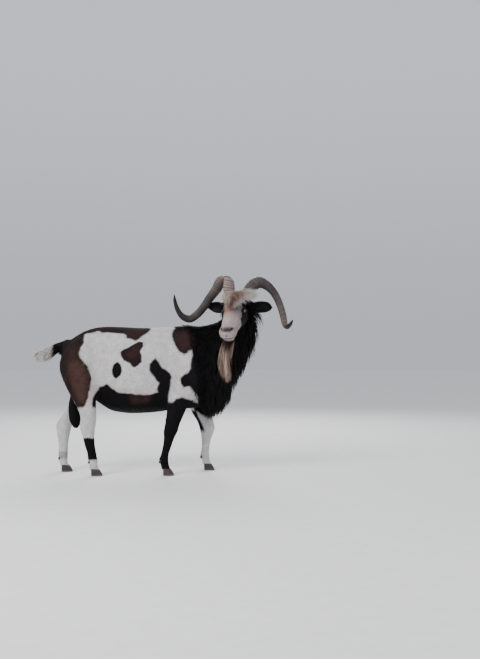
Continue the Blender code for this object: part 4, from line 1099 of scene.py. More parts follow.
@dataclass
class Horn:
    """A horn: a ringed, keeled taper along its centreline.

    roll turns its oval, twist turns it further past the arch, thin is the share of its thickness
    kept there, and pale lists how light its horn is at shares of its length.
    """

    rows: Array
    roll: float
    twist: float
    thin: float
    pale: tuple[tuple[float, float], ...]
    seed: int
    rings: int = 420
    around: int = 60
    ridge_step: float = 0.0125
    ridge_height: float = 0.085

    def frame(self) -> tuple[Array, Array, Array]:
        """The centreline with the directions of the horn's depth and thickness, carried along it."""
        centres = spline(self.rows, self.rings, [0, 1, 2])
        along = unit(np.gradient(centres, axis=0))
        middle = centres[int(0.35 * self.rings)] * 0.5 + centres[0] * 0.5
        plane = unit(np.cross(along[: self.rings // 2].mean(0), along[-self.rings // 3]))
        way = np.cross(along[0], plane)
        way = way * np.sign(way @ (centres[0] - middle))
        depth = np.empty_like(along)
        for k, step in enumerate(along):
            way = unit(way - step * (way @ step))
            depth[k] = way
        thick = np.cross(along, depth)
        roll = self.roll + self.twist * ease(np.linspace(0.0, 1.0, self.rings), 0.14, 0.34)[:, None]
        c, s = np.cos(roll), np.sin(roll)
        return centres, depth * c + thick * s, thick * c - depth * s

    def ridges(self, lengths: Array) -> Array:
        """The height of the rings at distances along the horn, 0 to 1.

        Rings lie a step apart that varies by a third, rise steeply on the side of the root and fall
        slowly towards the tip.

        Args:
            lengths: The distances.

        Returns:
            The heights.
        """
        draw = np.random.default_rng(self.seed)
        marks = np.cumsum(draw.uniform(0.66, 1.34, 80) * self.ridge_step) - self.ridge_step
        strength = draw.uniform(0.55, 1.0, 80)
        k = np.clip(np.searchsorted(marks, lengths) - 1, 0, 78)
        place = (lengths - marks[k]) / (marks[k + 1] - marks[k])
        wave = ease(place, 0.0, 0.28) * ease(place, 1.0, 0.42)
        return wave * strength[k]

    def build(self, name: str) -> bpy.types.Object:
        """The horn's surface: centre + depth * cos(turn) + thickness * sin(turn), with a keel in
        front, swelled by its rings.

        Args:
            name: The object's name.

        Returns:
            The horn, with Along (share of its length), Ridge (height of its rings), Under (1 on its
            underside) and Pale (how light it is) stored.
        """
        centres, depth, thick = self.frame()
        steps = np.linalg.norm(np.diff(centres, axis=0), axis=1)
        lengths = np.concatenate([[0.0], np.cumsum(steps)])
        share = lengths / lengths[-1]
        at, half_depth, half_thick = np.array(HORN_TAPER).T
        turn = np.arange(self.around) * 2 * math.pi / self.around
        c, s = np.cos(turn), np.sin(turn)
        keel = 1 + 0.05 * np.exp(-((turn - math.pi) / 0.35) ** 2) - 0.03 * np.abs(s) * np.abs(c)
        slant = lengths[:, None] + 0.004 * c + 0.0012 * np.sin(3 * turn + 1.0)
        wave = self.ridges(slant)
        fade = ease(share, 0.93, 0.72)[:, None] * (0.75 + 0.25 * np.abs(c))
        swell = (0.965 + self.ridge_height * wave * fade) * keel
        end = np.sqrt(np.clip((1.0 - share) / 0.02, 0.0, 1.0))[:, None]
        wide = np.interp(share, at, half_depth)[:, None] * swell * (0.2 + 0.8 * end)
        kept = 1 + (self.thin - 1) * ease(share, 0.12, 0.30)
        flat = (np.interp(share, at, half_thick) * kept)[:, None] * swell * (0.2 + 0.8 * end)
        grid = centres[:, None] + depth[:, None] * (wide * c)[..., None]
        grid = grid + thick[:, None] * (flat * s)[..., None]
        points = np.concatenate([grid.reshape(-1, 3), centres[:1], centres[-1:]])
        obj = Shell(points, *ring_faces(self.rings, self.around)).turned_out().to_object(name)
        ends = np.concatenate([np.repeat(share, self.around), [0.0, 1.0]])
        store_value(obj, "Along", ends)
        store_value(obj, "Pale", np.interp(ends, *np.array(self.pale).T))
        store_value(obj, "Ridge", np.concatenate([(wave * fade).reshape(-1), [0.0, 0.0]]))
        under = (0.5 - 0.5 * (grid - centres[:, None])[..., 2] / np.maximum(wide, 1e-4)).reshape(-1)
        store_value(obj, "Under", np.concatenate([np.clip(under, 0, 1), [0.5, 0.5]]))
        return obj


@dataclass
class Hoof:
    """A cloven hoof: two claws under a soft coronet, with two dew claws behind.

    top is the coronet's height and spread half the distance between the claws' middles.
    """

    rows: Array
    side: Side
    top: float = 0.042
    spread: float = 0.0137

    def claw(self, lean: int) -> Shell:
        """One claw: level rings from the floor up, longer and lower towards the toe.

        Each ring is centre + half length * cos(turn)^0.9 + half width * sin(turn)^0.9, and its toe
        end drops by the slope of the wall, so the claw is higher at the heel's coronet than at the
        toe. The inner wall is flatter than the outer.

        Args:
            lean: -1 or 1, which of the two.

        Returns:
            The claw, flat on the floor.
        """
        t = np.linspace(0.0, 1.0, 26)
        x, y = self.rows[-1][0], self.side.value * self.rows[-1][2]
        height = self.top * 0.90 * t
        half_length = np.interp(t, [0, 0.06, 0.5, 1.0], [0.0288, 0.0298, 0.0262, 0.0215])
        half_width = np.interp(t, [0, 0.06, 0.5, 1.0], [0.0112, 0.0120, 0.0124, 0.0112])
        ahead = np.interp(t, [0, 0.5, 1.0], [0.010, 0.006, 0.002])
        bend = 1 + 0.012 * np.sin(height * 2 * math.pi / 0.0045)
        turn = np.arange(48) * 2 * math.pi / 48
        c, s = np.cos(turn), np.sin(turn)
        c, s = np.sign(c) * np.abs(c) ** 0.9, np.sign(s) * np.abs(s) ** 0.9
        flat = np.where(s * lean < 0, 0.86, 1.0)
        reach = np.where(c > 0, 1.15, 0.85) * c
        px = x + ahead[:, None] + (half_length * bend)[:, None] * reach
        py = y + lean * self.spread + (half_width * bend)[:, None] * s * flat
        pz = np.repeat(height[:, None], 48, 1) * (1 - 0.16 * ease(reach, 0.2, 1.1))
        grid = np.stack([px, py, pz], 2)
        ends = np.stack([grid[0].mean(0), grid[-1].mean(0)])
        return Shell(np.concatenate([grid.reshape(-1, 3), ends]), *ring_faces(26, 48)).turned_out()

    def build(self, name: str) -> bpy.types.Object:
        """Both claws as one piece."""
        return merged([self.claw(-1), self.claw(1)]).to_object(name)

    def dew_claws(self, name: str) -> bpy.types.Object:
        """The two small dew claws behind the pastern: short cones that point back and down."""
        fine = spline(self.rows, 60, [0, 1])
        k = int(np.argmin(np.abs(fine[:, 1] - 0.076)))
        cones = []
        for lean in (-1, 1):
            behind = fine[k, 0] - fine[k, 3] * 0.55
            root = np.array([behind, self.side.value * fine[k, 2] + lean * 0.011, 0.079])
            way = unit(np.array([-0.62, 0.18 * lean, -0.75]))
            t = np.linspace(0.0, 1.0, 10)[:, None]
            radius = 0.0068 * np.sqrt(1 - t**2.2 * 0.96)
            across = unit(np.cross(way, [0, 0, 1.0]))
            over = np.cross(way, across)
            centres = root + way * 0.017 * t
            cones.append(lofted(centres, over * radius, over * radius, across * radius, 16))
        return merged(cones).to_object(name)


@dataclass
class Roots:
    """Where hairs grow: places on a skin, its normals there, the way in which each hair leaves and,
    where it isn't left to its weight, the way in which it ends."""

    places: Array
    normals: Array
    ways: Array
    ends: Array | None = None

    def kept(self, keep: Array) -> "Roots":
        """Only the roots that are marked or listed."""
        ends = None if self.ends is None else self.ends[keep]
        return Roots(self.places[keep], self.normals[keep], self.ways[keep], ends)


@dataclass(frozen=True)
class Hair:
    """How one kind of tuft grows from its roots.

    width is its width at the typical length, thick its thickness as a share of that. sink is how deep
    it starts in the skin and vary how much its length differs. lift is how
    steeply it leaves the skin and lift_vary how much that differs, fall how far gravity turns its
    end, stray how far the tufts differ in direction, wave how far they snake as a share of their
    length, clump how far the ends of per_clump tufts are drawn together, knots how many points its
    line has, clear
    how far its end stays off the skin, nap how far it is shaded as the skin under it, shade_from where
    its root starts on the painted shade that darkens the depth of the coat, so that a higher value
    paints its root lighter, and dark_root how much darker the first third of a tuft's colour is.
    """

    width: float
    typical: float
    lift: float
    thick: float = 0.30
    lift_vary: float = 0.4
    fall: float = 0.0
    stray: float = 0.16
    wave: float = 0.0
    clump: float = 0.0
    per_clump: int = 12
    knots: int = 3
    sink: float = 0.0015
    vary: float = 0.25
    clear: float = 0.0
    nap: float = 0.0
    shade_from: float = 0.0
    dark_root: float = 0.0


class Tufts:
    """Turns roots into solid tufts: thin three-sided blades, with colours and bake patches."""

    patch = 0.003

    @staticmethod
    def lines(roots: Roots, lengths: Array, hair: Hair, seed: int) -> Array:
        """The middle lines of the tufts.

        A line leaves the root in the direction start and ends in the direction end: its point at t
        is root + length * (start * t + (end - start) * t^2 / 2), with a sine across it.

        Args:
            roots: Where they grow.
            lengths: Each tuft's length.
            hair: The kind of hair.
            seed: Chooses the random numbers.

        Returns:
            The points of each line, N by knots by 3.
        """
        draw = np.random.default_rng(seed)
        count = len(lengths)
        side = unit(np.cross(roots.normals, roots.ways))
        way = unit(roots.ways + side * draw.normal(0, hair.stray, (count, 1)))
        lift = hair.lift * draw.uniform(1 - hair.lift_vary, 1 + hair.lift_vary, (count, 1))
        lift = lift * np.clip(lengths / hair.typical, 0.3, 1.2)[:, None]
        start = unit(way + roots.normals * lift)
        if roots.ends is None:
            down = np.array([0.0, 0.0, -hair.fall])
            end = unit(way * (1 - hair.fall) + down - roots.normals * hair.lift * 0.35)
        else:
            end = unit(roots.ends + draw.normal(0, hair.stray, (count, 3)))
        length = (lengths * draw.uniform(1 - hair.vary, 1 + hair.vary, count))[:, None, None]
        t = np.linspace(0.0, 1.0, hair.knots)[None, :, None]
        phase = draw.uniform(0, 2 * math.pi, (count, 1, 1))
        snake = hair.wave * t * np.sin(t * 7.0 + phase)
        line = start[:, None] * t + (end - start)[:, None] * t**2 / 2 + side[:, None] * snake
        return (roots.places - roots.normals * hair.sink)[:, None] + line * length

    @staticmethod
    def clumped(lines: Array, hair: Hair, seed: int) -> Array:
        """Lines whose ends are drawn towards the nearest of a few leading lines."""
        draw = np.random.default_rng(seed)
        count = len(lines)
        leaders = draw.choice(count, max(1, count // hair.per_clump), replace=False)
        roots = lines[:, 0]
        nearest = np.empty(count, int)
        for part in np.array_split(np.arange(count), max(1, count // 2000)):
            gap = np.linalg.norm(roots[part, None] - roots[None, leaders], axis=2)
            nearest[part] = leaders[gap.argmin(1)]
        t = np.linspace(0.0, 1.0, lines.shape[1])[None, :, None]
        pull = hair.clump * t**1.3 * draw.uniform(0.6, 1.1, (count, 1, 1))
        return lines + (lines[nearest] - lines) * pull

    @staticmethod
    def blades(lines: Array, normals: Array, widths: Array, thick: float) -> tuple[Shell, Array, Array]:
        """Closed three-sided blades along lines, flat side down, drawn in to a point.

        A ring's corners are the line's point, plus and minus across times half the width, and plus
        the thickness along up. The width goes as 0.75 + t - 1.75 t^2.

        Args:
            lines: Middle lines, N by knots by 3.
            normals: The skin's normals at the roots.
            widths: Each blade's width.
            thick: Thickness as a share of the width.

        Returns:
            The blades, each point's blade and each point's share of the length.
        """
        count, knots = lines.shape[:2]
        tangent = unit(np.gradient(lines, axis=1))
        across = unit(np.cross(tangent, normals[:, None]))
        up = np.cross(across, tangent)
        t = np.linspace(0.0, 1.0, knots)
        size = (0.75 + t - 1.75 * t**2)[None, :, None] * widths[:, None, None]
        half = across * size / 2
        rings = np.stack([lines - half, lines + half, lines + up * size * thick], 2)
        points = np.concatenate([rings[:, :-1].reshape(count, -1, 3), lines[:, -1:]], 1)
        each = points.shape[1]
        a = np.arange(3)
        b = (a + 1) % 3
        quads = 3 * np.arange(knots - 2)[:, None, None] + np.stack([a, b, b + 3, a + 3], 1)[None]
        last = 3 * (knots - 2)
        tips = np.stack([last + a, last + b, np.full(3, each - 1)], 1)
        tris = np.concatenate([tips, [[2, 1, 0]]])
        base = (np.arange(count) * each)[:, None, None]
        fours = (base + quads.reshape(-1, 4)).reshape(-1, 4)
        shell = Shell(points.reshape(-1, 3), fours, (base + tris).reshape(-1, 3)).turned_out()
        share = np.concatenate([np.repeat(t[:-1], 3), [1.0]])
        return shell, np.repeat(np.arange(count), each), np.tile(share, count)

    @classmethod
    def piece(
        cls, name: str, lines: Array, roots: Roots, widths: Array, hair: Hair, colours: Array, unwrap: Array
    ) -> bpy.types.Object:
        """Tufts as one object with its colours, its lengthwise shade and its bake map.

        Args:
            name: The object's name.
            lines: Middle lines.
            roots: Their roots.
            widths: Widths of the blades.
            hair: The kind of hair.
            colours: A colour for each tuft.
            unwrap: The place of each root on the skin's own unwrap.

        Returns:
            The piece.
        """
        shell, owner, share = cls.blades(lines, roots.normals, widths, hair.thick)
        obj = shell.to_object(name)
        shade = 1 - hair.dark_root * ease(share, 0.40, 0.10)
        store_colour(obj, "Coat", colours[owner] * shade[:, None])
        # Strand runs from shade_from at the root to 1 at the tip; from it the hair's material paints shade
        # at the root and light at the tip.
        store_value(obj, "Strand", hair.shade_from + (1 - hair.shade_from) * share)
        corner = np.tile(np.concatenate([np.tile([-1.0, 1.0, 0.0], lines.shape[1] - 1), [0.0]]), len(lines))
        spot = unwrap[owner] + np.stack([corner * 0.4, share - 0.5 + 0.1 * np.abs(corner)], 1) * cls.patch
        layer = obj.data.uv_layers.new(name="OFBake")
        index = np.empty(len(obj.data.loops), np.int32)
        obj.data.loops.foreach_get("vertex_index", index)
        layer.data.foreach_set("uv", spot[index].astype(np.float32).reshape(-1))
        if hair.nap:
            shaded = unit(normals_of(obj) * (1 - hair.nap) + roots.normals[owner] * hair.nap)
            obj.data.normals_split_custom_set_from_vertices(shaded)
        return obj


@dataclass
class Surface:
    """A skin that hair grows on."""

    obj: bpy.types.Object

    def scattered(self, density: Callable[[Array], Array], seed: int) -> tuple[Array, Array]:
        """Places spread over the four-sided faces, as many on each as its area times the density.

        A face's share of a place is rounded up or down by chance, and a place is the mean of the
        four corners weighted by two random numbers.

        Args:
            density: Roots per square metre as a function of the places of face middles.
            seed: Chooses the random numbers.

        Returns:
            The places and the skin's normals at them.
        """
        draw = np.random.default_rng(seed)
        mesh = self.obj.data
        starts = np.empty(len(mesh.polygons), np.int32)
        totals = np.empty(len(mesh.polygons), np.int32)
        corners = np.empty(len(mesh.loops), np.int32)
        mesh.polygons.foreach_get("loop_start", starts)
        mesh.polygons.foreach_get("loop_total", totals)
        mesh.loops.foreach_get("vertex_index", corners)
        quads = corners[starts[totals == 4][:, None] + np.arange(4)]
        points, normals = points_of(self.obj), normals_of(self.obj)
        corner = points[quads]
        area = np.linalg.norm(np.cross(corner[:, 2] - corner[:, 0], corner[:, 3] - corner[:, 1]), axis=1) / 2
        count = np.floor(area * density(corner.mean(1)) + draw.random(len(quads))).astype(int)
        face = np.repeat(np.arange(len(quads)), count)
        a, b = draw.random((2, len(face), 1))
        share = np.stack([(1 - a) * (1 - b), a * (1 - b), a * b, (1 - a) * b], 1)
        places = (points[quads[face]] * share).sum(1)
        return places, unit((normals[quads[face]] * share).sum(1))

    def kept_out(self, lines: Array, clear: float) -> Array:
        """Lines with every point but the first pushed out of the skin where it is nearer than allowed.

        Args:
            lines: Points of each line, N by knots by 3.
            clear: Least distance over the skin at the end, which falls to nothing at the root.

        Returns:
            The lines.
        """
        moved = [lines[:, 0]]
        for share, points in zip(np.linspace(0.0, 1.0, lines.shape[1])[1:], np.moveaxis(lines, 1, 0)[1:]):
            cloud = Shell(points, no_faces(4), no_faces(3)).to_object("hair_points")
            wrap = cloud.modifiers.new("stay outside", "SHRINKWRAP")
            wrap.target = self.obj
            wrap.wrap_mode = "OUTSIDE"
            wrap.offset = float(share) * clear
            moved.append(points_of(applied(cloud)))
            bpy.data.objects.remove(cloud)
        return np.stack(moved, 1)

    def grown(
        self, name: str, roots: Roots, lengths: Array, hair: Hair, colours: Array, unwrap: Array, seed: int
    ) -> bpy.types.Object:
        """One piece of coat on this skin.

        Args:
            name: The piece's name.
            roots: Where its tufts grow.
            lengths: Their lengths.
            hair: The kind of hair.
            colours: Their colours, which each tuft takes a little lighter or darker.
            unwrap: The places of the roots on the skin's unwrap.
            seed: Chooses the random numbers.

        Returns:
            The piece.
        """
        lines = Tufts.lines(roots, lengths, hair, seed)
        if hair.clump:
            lines = Tufts.clumped(lines, hair, seed + 1)
        if hair.clear:
            lines = self.kept_out(lines, hair.clear)
        vary = np.random.default_rng(seed + 2).uniform(-1, 1, (2, len(lengths)))
        widths = hair.width * np.clip(lengths / hair.typical, 0.45, 1.2) * (1 + 0.25 * vary[0])
        tinted = colours * (1 + 0.12 * vary[1])[:, None]
        return Tufts.piece(name, lines, roots, widths, hair, tinted, unwrap)


@dataclass(frozen=True)
class Cylinder:
    """An unwrap of a skin round an axis: along it, and the angle round it."""

    start: Row
    end: Row
    top: Row = (0.0, 0.0, 1.0)

    def spread(self, places: Array) -> Array:
        """Places on the unwrap, 0.01 to 0.99 both ways."""
        start, axis = np.array(self.start), np.array(self.end) - np.array(self.start)
        length = np.linalg.norm(axis)
        axis = axis / length
        along = ((places - start) @ axis) / length
        up = unit(np.array(self.top) - axis * (np.array(self.top) @ axis))
        side = np.cross(axis, up)
        angle = np.arctan2((places - start) @ side, (places - start) @ up) / (2 * math.pi) + 0.5
        return 0.01 + 0.98 * np.clip(np.stack([along, angle], 1), 0.0, 1.0)


@dataclass
class BodyCoat:
    """The coat of the trunk, neck, legs and tail, short and long.

    long_from is the length from which hair counts as long. The most_ fields bound the tufts of a
    piece, and leg_top is the height up to which a leg has an unwrap of its own.
    """

    surface: Surface
    markings: Markings
    long_from: float = 0.030
    most_short: int = 19000
    most_long: int = 8600
    most_brush: int = 12000
    leg_top: float = 0.36
    short: Hair = Hair(
        width=0.0027, typical=0.015, lift=0.13, stray=0.16, vary=0.30, nap=0.55, shade_from=0.35
    )
    long: Hair = Hair(
        width=0.0050, typical=0.066, lift=0.50, lift_vary=0.60, fall=0.62, stray=0.15, wave=0.05, clump=0.60,
        per_clump=12, knots=5, sink=0.003, clear=0.010,
    )
    brush: Hair = Hair(
        width=0.0020, typical=0.060, lift=0.85, lift_vary=0.6, fall=0.45, stray=0.40, wave=0.08, clump=0.30,
        knots=4, sink=0.003,
    )

    @staticmethod
    def neck_share(places: Array) -> Array:
        """How far a place belongs to the neck: 0 on the trunk, 1 past the shoulders."""
        ahead = places[:, 0] + 0.22 * (places[:, 2] - 0.62)
        return ease(ahead, 0.150, 0.330) * ease(places[:, 2], 0.33, 0.40)

    @staticmethod
    def throat_share(places: Array) -> Array:
        """How near a place is to the front of the throat and chest: 0 at the crest, 1 in front."""
        heights = [0.45, 0.60, 0.70, 0.775, 0.845, 0.90]
        centre = np.interp(places[:, 2], heights, [0.30, 0.33, 0.365, 0.42, 0.455, 0.47])
        return ease(places[:, 0] - centre, -0.06, 0.07)

    @staticmethod
    def tail_share(places: Array) -> Array:
        """How far a place belongs to the tail: 0 on the rump, 1 past the dock."""
        return ease(places[:, 0], -0.465, -0.490) * ease(places[:, 2], 0.60, 0.62)

    def length(self, places: Array) -> Array:
        """Length of the coat at a place, in metres.

        Short on the legs, longer over the back, under the belly and behind the thighs, and longest
        on the neck, where it grows from the crest to the throat, and on the tail.
        """
        x, y, z = places[:, 0], places[:, 1], places[:, 2]
        coat = 0.009 + 0.004 * ease(z, 0.30, 0.46)
        belly = ease(z, 0.385, 0.345) * ease(x, -0.30, -0.22) * ease(x, 0.20, 0.10) * ease(z, 0.29, 0.31)
        breech = ease(x + 0.30 * (z - 0.55), -0.425, -0.455) * ease(z, 0.36, 0.42) * ease(z, 0.68, 0.62)
        ridge = bump(y, 0.022) * ease(z, 0.74, 0.78)
        coat = coat + 0.012 * belly + 0.010 * breech + 0.008 * ridge
        coat = coat + (0.046 + 0.026 * ease(x, -0.49, -0.56) - coat) * self.tail_share(places)
        neck = self.neck_share(places)
        mane = 0.046 + self.throat_share(places) * (0.084 - 0.010 * ease(z, 0.84, 0.87))
        return coat + (mane - coat) * neck

    def density(self, places: Array) -> Array:
        """Roots per square metre: fewer where the coat is long, more on the thin legs."""
        lengths = [0.015, 0.030, 0.060, 0.120]
        many = np.interp(self.length(places), lengths, [54000.0, 44000.0, 27000.0, 20000.0])
        legs = 1 + 0.3 * ease(places[:, 2], 0.34, 0.26) + 4.5 * self.tail_share(places)
        return many * legs * ease(places[:, 2], 0.036, 0.042)

    def ways(self, places: Array, normals: Array) -> Array:
        """The lie of the coat: back and down on the trunk, down the legs and the neck, and out along
        the tail, each blended into the next and laid into the skin.

        Args:
            places: Where.
            normals: The skin's normals there.

        Returns:
            Unit directions in the skin.
        """
        x, z = places[:, 0], places[:, 2]
        front = self.throat_share(places)[:, None]
        fall = np.array([-0.52, 0.0, -0.85]) * (1 - front) + np.array([-0.12, -0.02, -1.0]) * front
        way = np.array([[-0.88, 0.0, -0.42]])
        for share, turned in (
            (ease(z, 0.56, 0.36), (-0.20, 0.0, -1.0)),
            (ease(x, -0.30, -0.42) * ease(z, 0.70, 0.60), (-0.30, 0.0, -0.95)),
            (ease(x, 0.10, 0.22) * ease(z, 0.30, 0.40), (-0.42, 0.0, -0.85)),
            (self.neck_share(places), fall),
            (ease(x, -0.465, -0.490) * ease(z, 0.58, 0.62), (-0.95, 0.0, -0.30)),
        ):
            way = way + (np.array(turned) - way) * share[:, None]
        swirl = np.stack([waves(places, 0.11, seed) for seed in (21, 22, 23)], 1)
        way = unit(way) + 0.14 * swirl
        return unit(way - normals * (way * normals).sum(1)[:, None])

    def spread(self, places: Array) -> Array:
        """Places of the roots on the unwrap: the trunk's below, and the four legs' side by side above."""
        spots = Cylinder((-0.64, 0.0, 0.56), (0.60, 0.0, 0.60)).spread(places) * [1.0, 0.6]
        for number, (rows, side) in enumerate(LEGS):
            middle = np.interp(places[:, 2], rows[::-1, 1], rows[::-1, 0])
            on_leg = (places[:, 2] < self.leg_top) & (places[:, 1] * side.value > 0.04)
            on_leg = on_leg & (np.abs(places[:, 0] - middle) < 0.09)
            level = places - np.stack([middle, 0 * middle, 0 * middle], 1)
            aside = side.value * 0.1
            leg = Cylinder((0.0, aside, 0.0), (0.0, aside, self.leg_top), (1.0, 0.0, 0.0))
            own = leg.spread(level)[:, ::-1] * [0.25, 0.4] + [number / 4, 0.6]
            spots = np.where(on_leg[:, None], own, spots)
        return spots

    def build(self) -> list[bpy.types.Object]:
        """The coat in pieces of a bounded size, ordered from the tail to the neck.

        Returns:
            The pieces, at rest in the goat's frame.
        """
        places, normals = self.surface.scattered(self.density, 41)
        roots = Roots(places, normals, self.ways(places, normals))
        lengths, colours = self.length(places), self.markings.body(places - normals * 0.001)
        unwrap = self.spread(places)
        order = np.argsort(places[:, 0])
        pieces = []
        kind = np.where(self.tail_share(places) > 0.5, 2, lengths > self.long_from)[order]
        kinds = (
            ("short", self.short, self.most_short),
            ("long", self.long, self.most_long),
            ("tail", self.brush, self.most_brush),
        )
        for place, (word, hair, most) in enumerate(kinds):
            chosen = order[kind == place]
            for number, part in enumerate(np.array_split(chosen, math.ceil(len(chosen) / most)), 1):
                name, own = f"coat_{word}_{number}", roots.kept(part)
                own_look = (hair, colours[part], unwrap[part], 50 + number)
                pieces.append(self.surface.grown(name, own, lengths[part], *own_look))
        return pieces


@dataclass
class HeadCoat:
    """The hair of the head: the short coat, forelock, beard, cheeks and the hair of the ears.

    The roots_ fields are roots per square metre, and cheek_length is the cheeks' long hair.
    """

    surface: Surface
    markings: Markings
    head: Head
    roots_face: float = 200000.0
    roots_forelock: float = 1000000.0
    roots_beard: float = 620000.0
    roots_cheeks: float = 90000.0
    roots_ear: float = 150000.0
    cheek_length: float = 0.068
    face: Hair = Hair(
        width=0.0016, typical=0.009, lift=0.14, thick=0.35, stray=0.16, sink=0.0008, nap=0.5, shade_from=0.4
    )
    forelock: Hair = Hair(
        width=0.0023, typical=0.11, lift=0.0, stray=0.22, wave=0.05, clump=0.25, per_clump=18, knots=5,
        sink=0.003, vary=0.30, dark_root=0.35,
    )
    beard: Hair = Hair(
        width=0.0021, typical=0.18, lift=0.10, stray=0.06, wave=0.030, clump=0.72, per_clump=60,
        knots=7, sink=0.003, vary=0.14, dark_root=0.92,
    )
    cheeks: Hair = Hair(
        width=0.0034, typical=0.068, lift=0.35, fall=0.40, stray=0.16, wave=0.04, clump=0.40, knots=5,
        sink=0.002,
    )
    ear: Hair = Hair(width=0.0018, typical=0.009, lift=0.16, thick=0.35, stray=0.2, sink=0.0006, nap=0.3)

    def spread(self, places: Array) -> Array:
        """Places of the roots on the head's unwrap, along the face and round it."""
        start, end = HEAD_FRAME.place(-0.03, 0, 0), HEAD_FRAME.place(0.32, 0, -0.01)
        return Cylinder(tuple(start), tuple(end), tuple(HEAD_FRAME.axes()[1])).spread(places)

    def short_density(self, places: Array) -> Array:
        """Roots of the face's coat per square metre: none on the nostrils, the pad between them, the
        lips and the eyes, and most on the muzzle."""
        along, side, above = HEAD_FRAME.local(places).T
        wide = np.abs(side)
        nose = ease(self.head.slit(along, side, above), 1.7, 1.2)
        pad = ease(np.hypot(side, above - 0.006), 0.015, 0.010) * ease(along, 0.276, 0.283)
        mouth = ease(np.abs(above - self.head.mouth_level), 0.0045, 0.0020) * ease(along, 0.212, 0.230)
        eye = ease(np.hypot(along - self.head.eye[0], above - self.head.eye[2]), 0.0165, 0.0130)
        bare = np.clip(nose + pad + mouth + eye * ease(wide, 0.030, 0.038), 0.0, 1.0)
        return self.roots_face * (1 - bare) * ease(along, 0.0, 0.02) * (0.75 + 0.5 * ease(along, 0.15, 0.24))

    def short_ways(self, places: Array, normals: Array) -> Array:
        """The lie of the face's coat: up the nose and forehead, and back and down over the cheeks."""
        forward, brow, left = HEAD_FRAME.axes()
        local = HEAD_FRAME.local(places)
        cheek = ease(local[:, 2], 0.020, -0.020)[:, None]
        way = -forward * (1 - 0.2 * cheek) - brow * 0.7 * cheek
        sides = left * np.sign(local[:, 1:2]) * ease(np.abs(local[:, 1:2]), 0.0, 0.03) * 0.25
        way = way + sides + 0.12 * np.stack([waves(places, 0.05, seed) for seed in (31, 32, 33)], 1)
        return unit(way - normals * (way * normals).sum(1)[:, None])

    def short_coat(self) -> bpy.types.Object:
        """The face's short coat, finest at the muzzle and longer at the cheeks and poll."""
        places, normals = self.surface.scattered(self.short_density, 61)
        along, _, above = HEAD_FRAME.local(places).T
        roots = Roots(places, normals, self.short_ways(places, normals))
        stations = [0.0, 0.05, 0.10, 0.17, 0.25, 0.29]
        lengths = np.interp(along, stations, [0.020, 0.015, 0.010, 0.0075, 0.0055, 0.0042])
        lengths = lengths * (1 + 1.2 * ease(above, -0.030, -0.060) * ease(along, 0.24, 0.18))
        colours = self.markings.face(places)
        return self.surface.grown("coat_face", roots, lengths, self.face, colours, self.spread(places), 63)

    def forelock_density(self, places: Array) -> Array:
        """Roots of the forelock per square metre, on an oval between and in front of the horns."""
        along, side, above = HEAD_FRAME.local(places).T
        disc = np.hypot((along - 0.049) / 0.044, (side - 0.001) / 0.047)
        bare = ease(along, 0.064, 0.074) * ease(side, 0.018, 0.028)
        return self.roots_forelock * ease(disc, 1.0, 0.80) * ease(above, 0.010, 0.028) * (1 - bare)

    def forelock_piece(self) -> bpy.types.Object:
        """The forelock, which stands up before the horns, parts over the goat's right eye and leans
        to both sides, with a short fringe on the brow."""
        forward, brow, left = HEAD_FRAME.axes()
        places, normals = self.surface.scattered(self.forelock_density, 71)
        along, side, _ = HEAD_FRAME.local(places).T
        aside = np.clip((side + 0.012) / 0.024, -1, 1)[:, None]
        fringe = ease(along, 0.074, 0.090)[:, None]
        up = np.array([0.0, 0.0, 1.0])
        lean = np.where(aside > 0, 0.60, 0.16) * aside
        risen = (up * (0.80 - 0.15 * aside) + left * lean) * (1 - fringe)
        ways = unit(risen + brow * 0.55 + forward * fringe)
        fold = np.where(aside > 0, 1.0, 0.08) * aside
        folded = left * fold * (1 - 0.7 * fringe)
        ends = unit(folded + forward * (0.25 + fringe) - up * (0.52 - 0.10 * aside))
        lengths = (0.140 - 0.018 * aside[:, 0]) * (1 - 0.50 * fringe[:, 0])
        part = bump(side + 0.005, 0.012) * (0.50 + 0.50 * ease(along, 0.02, 0.07))
        cream = ("cream", 0.25 + 0.55 * ease(side, 0.045, -0.03))
        marks = (cream, ("tan", 0.95 * part), ("rust", 0.45 * part**2))
        colours = self.markings.marked(self.markings.plain("white", len(places)), marks)
        roots, unwrap = Roots(places, normals, ways, ends), self.spread(places)
        return self.surface.grown("hair_forelock", roots, lengths, self.forelock, colours, unwrap, 72)

    def beard_density(self, places: Array) -> Array:
        """Roots of the beard per square metre, on an oval under the chin."""
        along, side, above = HEAD_FRAME.local(places).T
        disc = np.hypot((along - 0.238) / 0.036, side / 0.032)
        return self.roots_beard * ease(disc, 1.0, 0.80) * ease(above, -0.026, -0.036)

